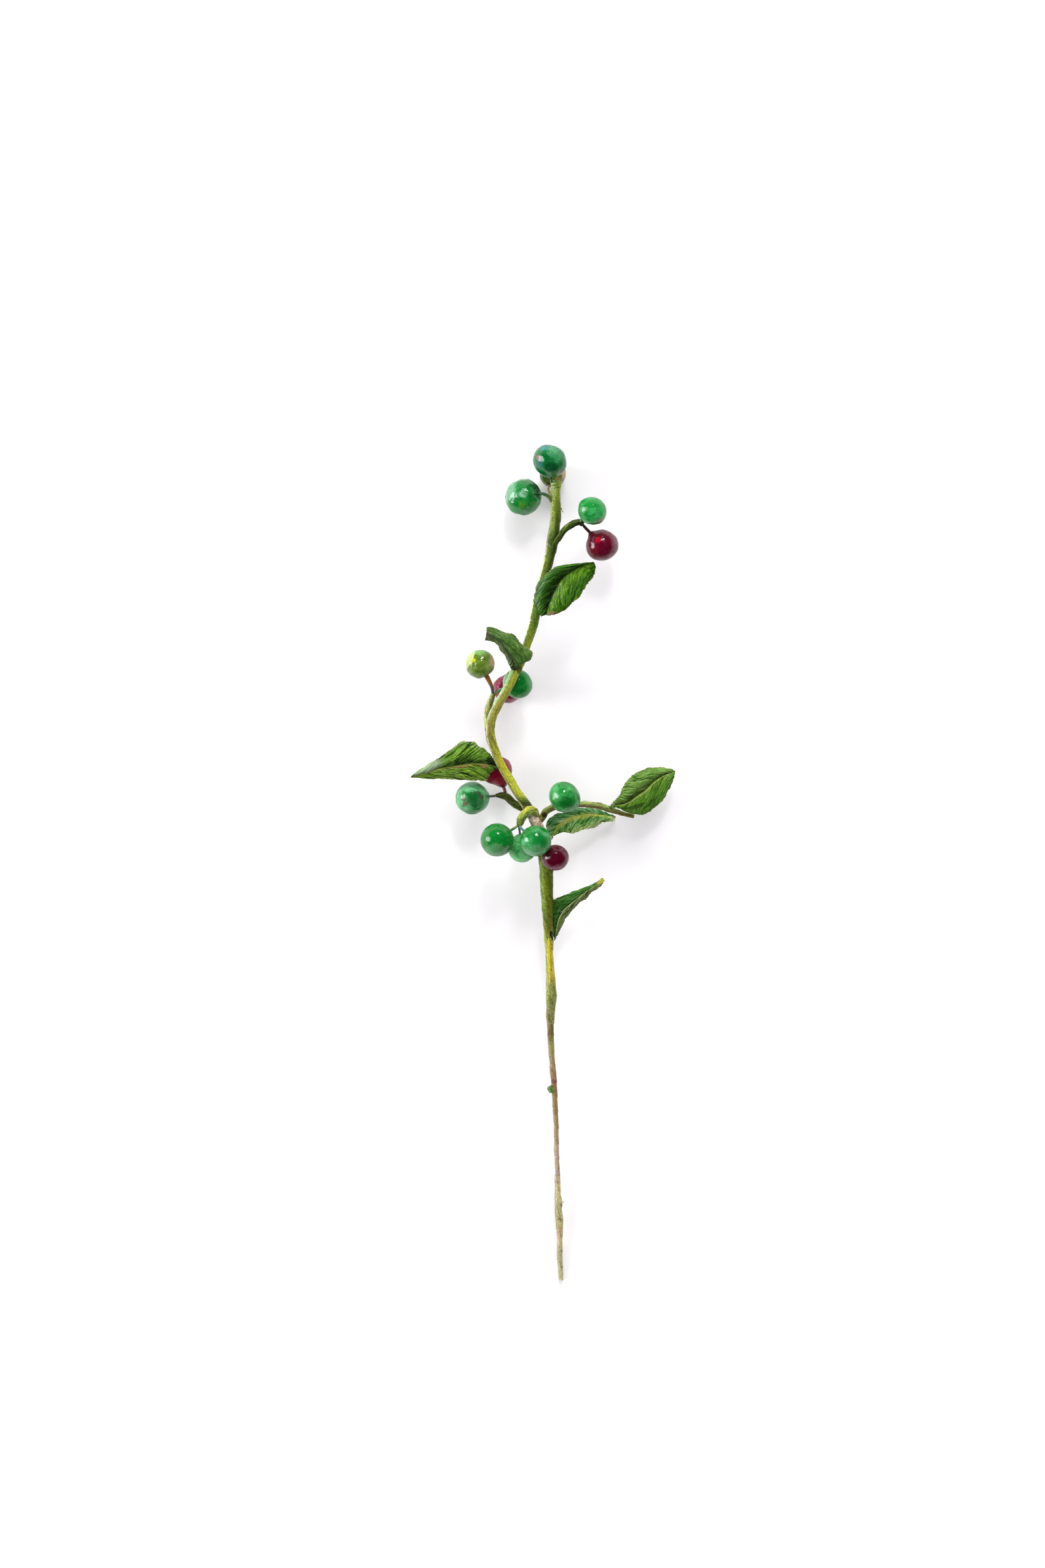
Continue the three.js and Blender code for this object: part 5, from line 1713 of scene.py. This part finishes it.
class SPRIG_OT_berries(bpy.types.Operator):
    """Builds the fifteen painted berries"""
    bl_idname = "sprig.berries"
    bl_label = "Painted Berries"

    def execute(self, context):
        for key, paint in BERRIES.items():
            node = "berry_" + key
            low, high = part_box(node)
            centre, half = (low + high) / 2, (high - low) / 2
            stalk_end = place(*BERRY_STALKS[key][0][-1])
            material = berry_material(key, paint, context.scene.sprig_sizes.varnish)
            red, green, _ = paint["under"]
            slot = "berry_red" if red > green else "berry_olive" if red > OLIVE_RED else "berry_green"
            values = {
                "Centre": centre, "Half Widths": half,
                "Stalk Direction": (stalk_end - centre).normalized(), "Neck Height": paint["neck"],
                "Neck Width": paint["wide"], "Lump Height": paint["lump"], "Lump Size": 1.3,
                "Seed": seed_of(key), "Material": material,
            }
            if "bulges" in paint:
                first, second = (Vector(bulge).normalized() for bulge in paint["bulges"])
                values.update({"Bulge A": first, "Bulge B": second, "Bulge Height": BULGE_HEIGHT})
            start = bpy.data.meshes.new(node + "_start")
            make_piece("painted_" + node, node, start, "berry", values, box=(low, high))
        return {"FINISHED"}


class SPRIG_OT_berry_stalks(bpy.types.Operator):
    """Builds the fifteen berry stalks, from the twigs into the berries"""
    bl_idname = "sprig.berry_stalks"
    bl_label = "Berry Stalks"

    def execute(self, context):
        for key, (points, near, far) in BERRY_STALKS.items():
            centre = (middle_of("berry_" + key) - FORK) / MM
            last = Vector(points[-1])
            end = centre + (last - centre).normalized() * BERRIES[key]["half"] * STALK_END
            spots = [*points, tuple(end)]
            if len(spots) == 2:
                spots.insert(1, tuple((last + end) / 2))
            count = len(spots) - 1
            path = [(*spot, near + (far - near) * i / count) for i, spot in enumerate(spots)]
            paint = stalk_material("stalk_" + key, *STALK_PAINTS[key], seed_of(key))
            make_rod(
                "wire_" + key, "stalk_" + key, path, STALK_STEP, STALK_SIDES, paint,
                context.scene.sprig_sizes, STALK_BINDING)
        return {"FINISHED"}


class SPRIG_OT_loose_ends(bpy.types.Operator):
    """Builds the frayed paper near the tip and the two threads on the foot"""
    bl_idname = "sprig.loose_ends"
    bl_label = "Loose Ends"

    def execute(self, context):
        sizes = context.scene.sprig_sizes
        for name, (path, near, far) in LOOSE_ENDS.items():
            paint = stalk_material(name, near, far, seed_of(name))
            make_rod(name, None, path, THREAD_STEP, THREAD_SIDES, paint, sizes, THREAD_BINDING)
        return {"FINISHED"}


class SPRIG_OT_stage(bpy.types.Operator):
    """Builds the pale floor, the soft lights and the camera that looks down on the sprig"""
    bl_idname = "sprig.stage"
    bl_label = "Stage"

    def execute(self, context):
        scene = context.scene
        middle = place(*VIEW_MIDDLE)
        mesh = bpy.data.meshes.new("floor")
        corners = [(-1, -1), (1, -1), (1, 1), (-1, 1)]
        rows = [(x * FLOOR_REACH, y * FLOOR_REACH, -FLOOR_GAP) for x, y in corners]
        mesh.from_pydata(rows, [], [(0, 1, 2, 3)])
        floor = bpy.data.objects.new("pale_floor", mesh)
        material, graph, surface = new_material("pale floor")
        seen = graph.get("ShaderNodeLightPath", output="Is Camera Ray")
        finish_surface(
            graph, surface, Base_Color=(*scene.sprig_colours.floor, 1.0), Roughness=0.9,
            Specular_IOR_Level=0.1, Emission_Color=ROOM_WHITE, Emission_Strength=seen * FLOOR_GLOW)
        mesh.materials.append(material)
        scene.collection.objects.link(floor)
        for name, (offset, (wide, high), power, seen_in_gloss) in LAMPS.items():
            light = bpy.data.lights.new(name, "AREA")
            light.shape, light.size, light.size_y, light.energy = "RECTANGLE", wide, high, power
            lamp = bpy.data.objects.new(name, light)
            lamp.location = middle + Vector(offset)
            lamp.rotation_euler = (-Vector(offset)).to_track_quat("-Z", "Y").to_euler()
            lamp.visible_glossy = seen_in_gloss
            scene.collection.objects.link(lamp)
        world = bpy.data.worlds.new("white room")
        world.use_nodes = True
        graph = Graph(world.node_tree)
        direction = graph.get("ShaderNodeTexCoord", output="Generated")
        side = graph.span(graph.vector("DOT_PRODUCT", direction, WINDOW_SIDE), -0.8, 0.3, 0.15, 1.0)
        reflected = graph.span(graph.part(direction, 2), 0.08, 0.4, 1.2, 0.01) * side
        for_gloss = graph.get("ShaderNodeLightPath", output="Is Glossy Ray")
        background = world.node_tree.nodes["Background"]
        background.inputs["Color"].default_value = ROOM_WHITE
        sky = graph.get("ShaderNodeMix", {0: for_gloss, 2: ROOM_LIGHT, 3: reflected})
        graph.feed(background.inputs["Strength"], sky)
        scene.world = world
        camera = bpy.data.cameras.new("camera")
        camera.lens, camera.sensor_width, camera.sensor_fit = 85.0, 36.0, "AUTO"
        camera.clip_end = 20.0
        eye = bpy.data.objects.new("camera", camera)
        eye.location = (middle.x, middle.y, CAMERA_HEIGHT)
        scene.collection.objects.link(eye)
        scene.camera = eye
        scene.view_settings.view_transform = "Standard"
        return {"FINISHED"}


class SPRIG_PT_panel(bpy.types.Panel):
    """Lists the sprig's sizes, colours and pieces"""
    bl_idname = "SPRIG_PT_panel"
    bl_label = "Chokeberry Sprig"
    bl_space_type = "VIEW_3D"
    bl_region_type = "UI"
    bl_category = "Sprig"

    def draw(self, context):
        for settings in (context.scene.sprig_sizes, context.scene.sprig_colours):
            for key in settings.__annotations__:
                self.layout.prop(settings, key)
        for operator in OPERATORS:
            self.layout.operator(operator.bl_idname)


OPERATORS = (
    SPRIG_OT_stage, SPRIG_OT_stems, SPRIG_OT_twigs, SPRIG_OT_leaves, SPRIG_OT_leaf_stalks,
    SPRIG_OT_berries, SPRIG_OT_berry_stalks, SPRIG_OT_loose_ends,
)
CLASSES = (SprigSizes, SprigColours, *OPERATORS, SPRIG_PT_panel)
TREES = (
    bound_rod_tree, pleated_sheet_tree, berry_tree, paint_patches_group, brush_streaks_group,
    varnish_group,
)


def register():
    for cls in CLASSES:
        bpy.utils.register_class(cls)
    bpy.types.Scene.sprig_sizes = PointerProperty(type=SprigSizes)
    bpy.types.Scene.sprig_colours = PointerProperty(type=SprigColours)


def unregister():
    del bpy.types.Scene.sprig_sizes, bpy.types.Scene.sprig_colours
    for cls in reversed(CLASSES):
        bpy.utils.unregister_class(cls)


def main():
    """Builds the trees, the stage and every piece."""
    register()
    for build in TREES:
        build()
    for name in (
        "stage", "stems", "twigs", "leaves", "leaf_stalks", "berries", "berry_stalks", "loose_ends",
    ):
        getattr(bpy.ops.sprig, name)()


if __name__ == "__main__":
    main()
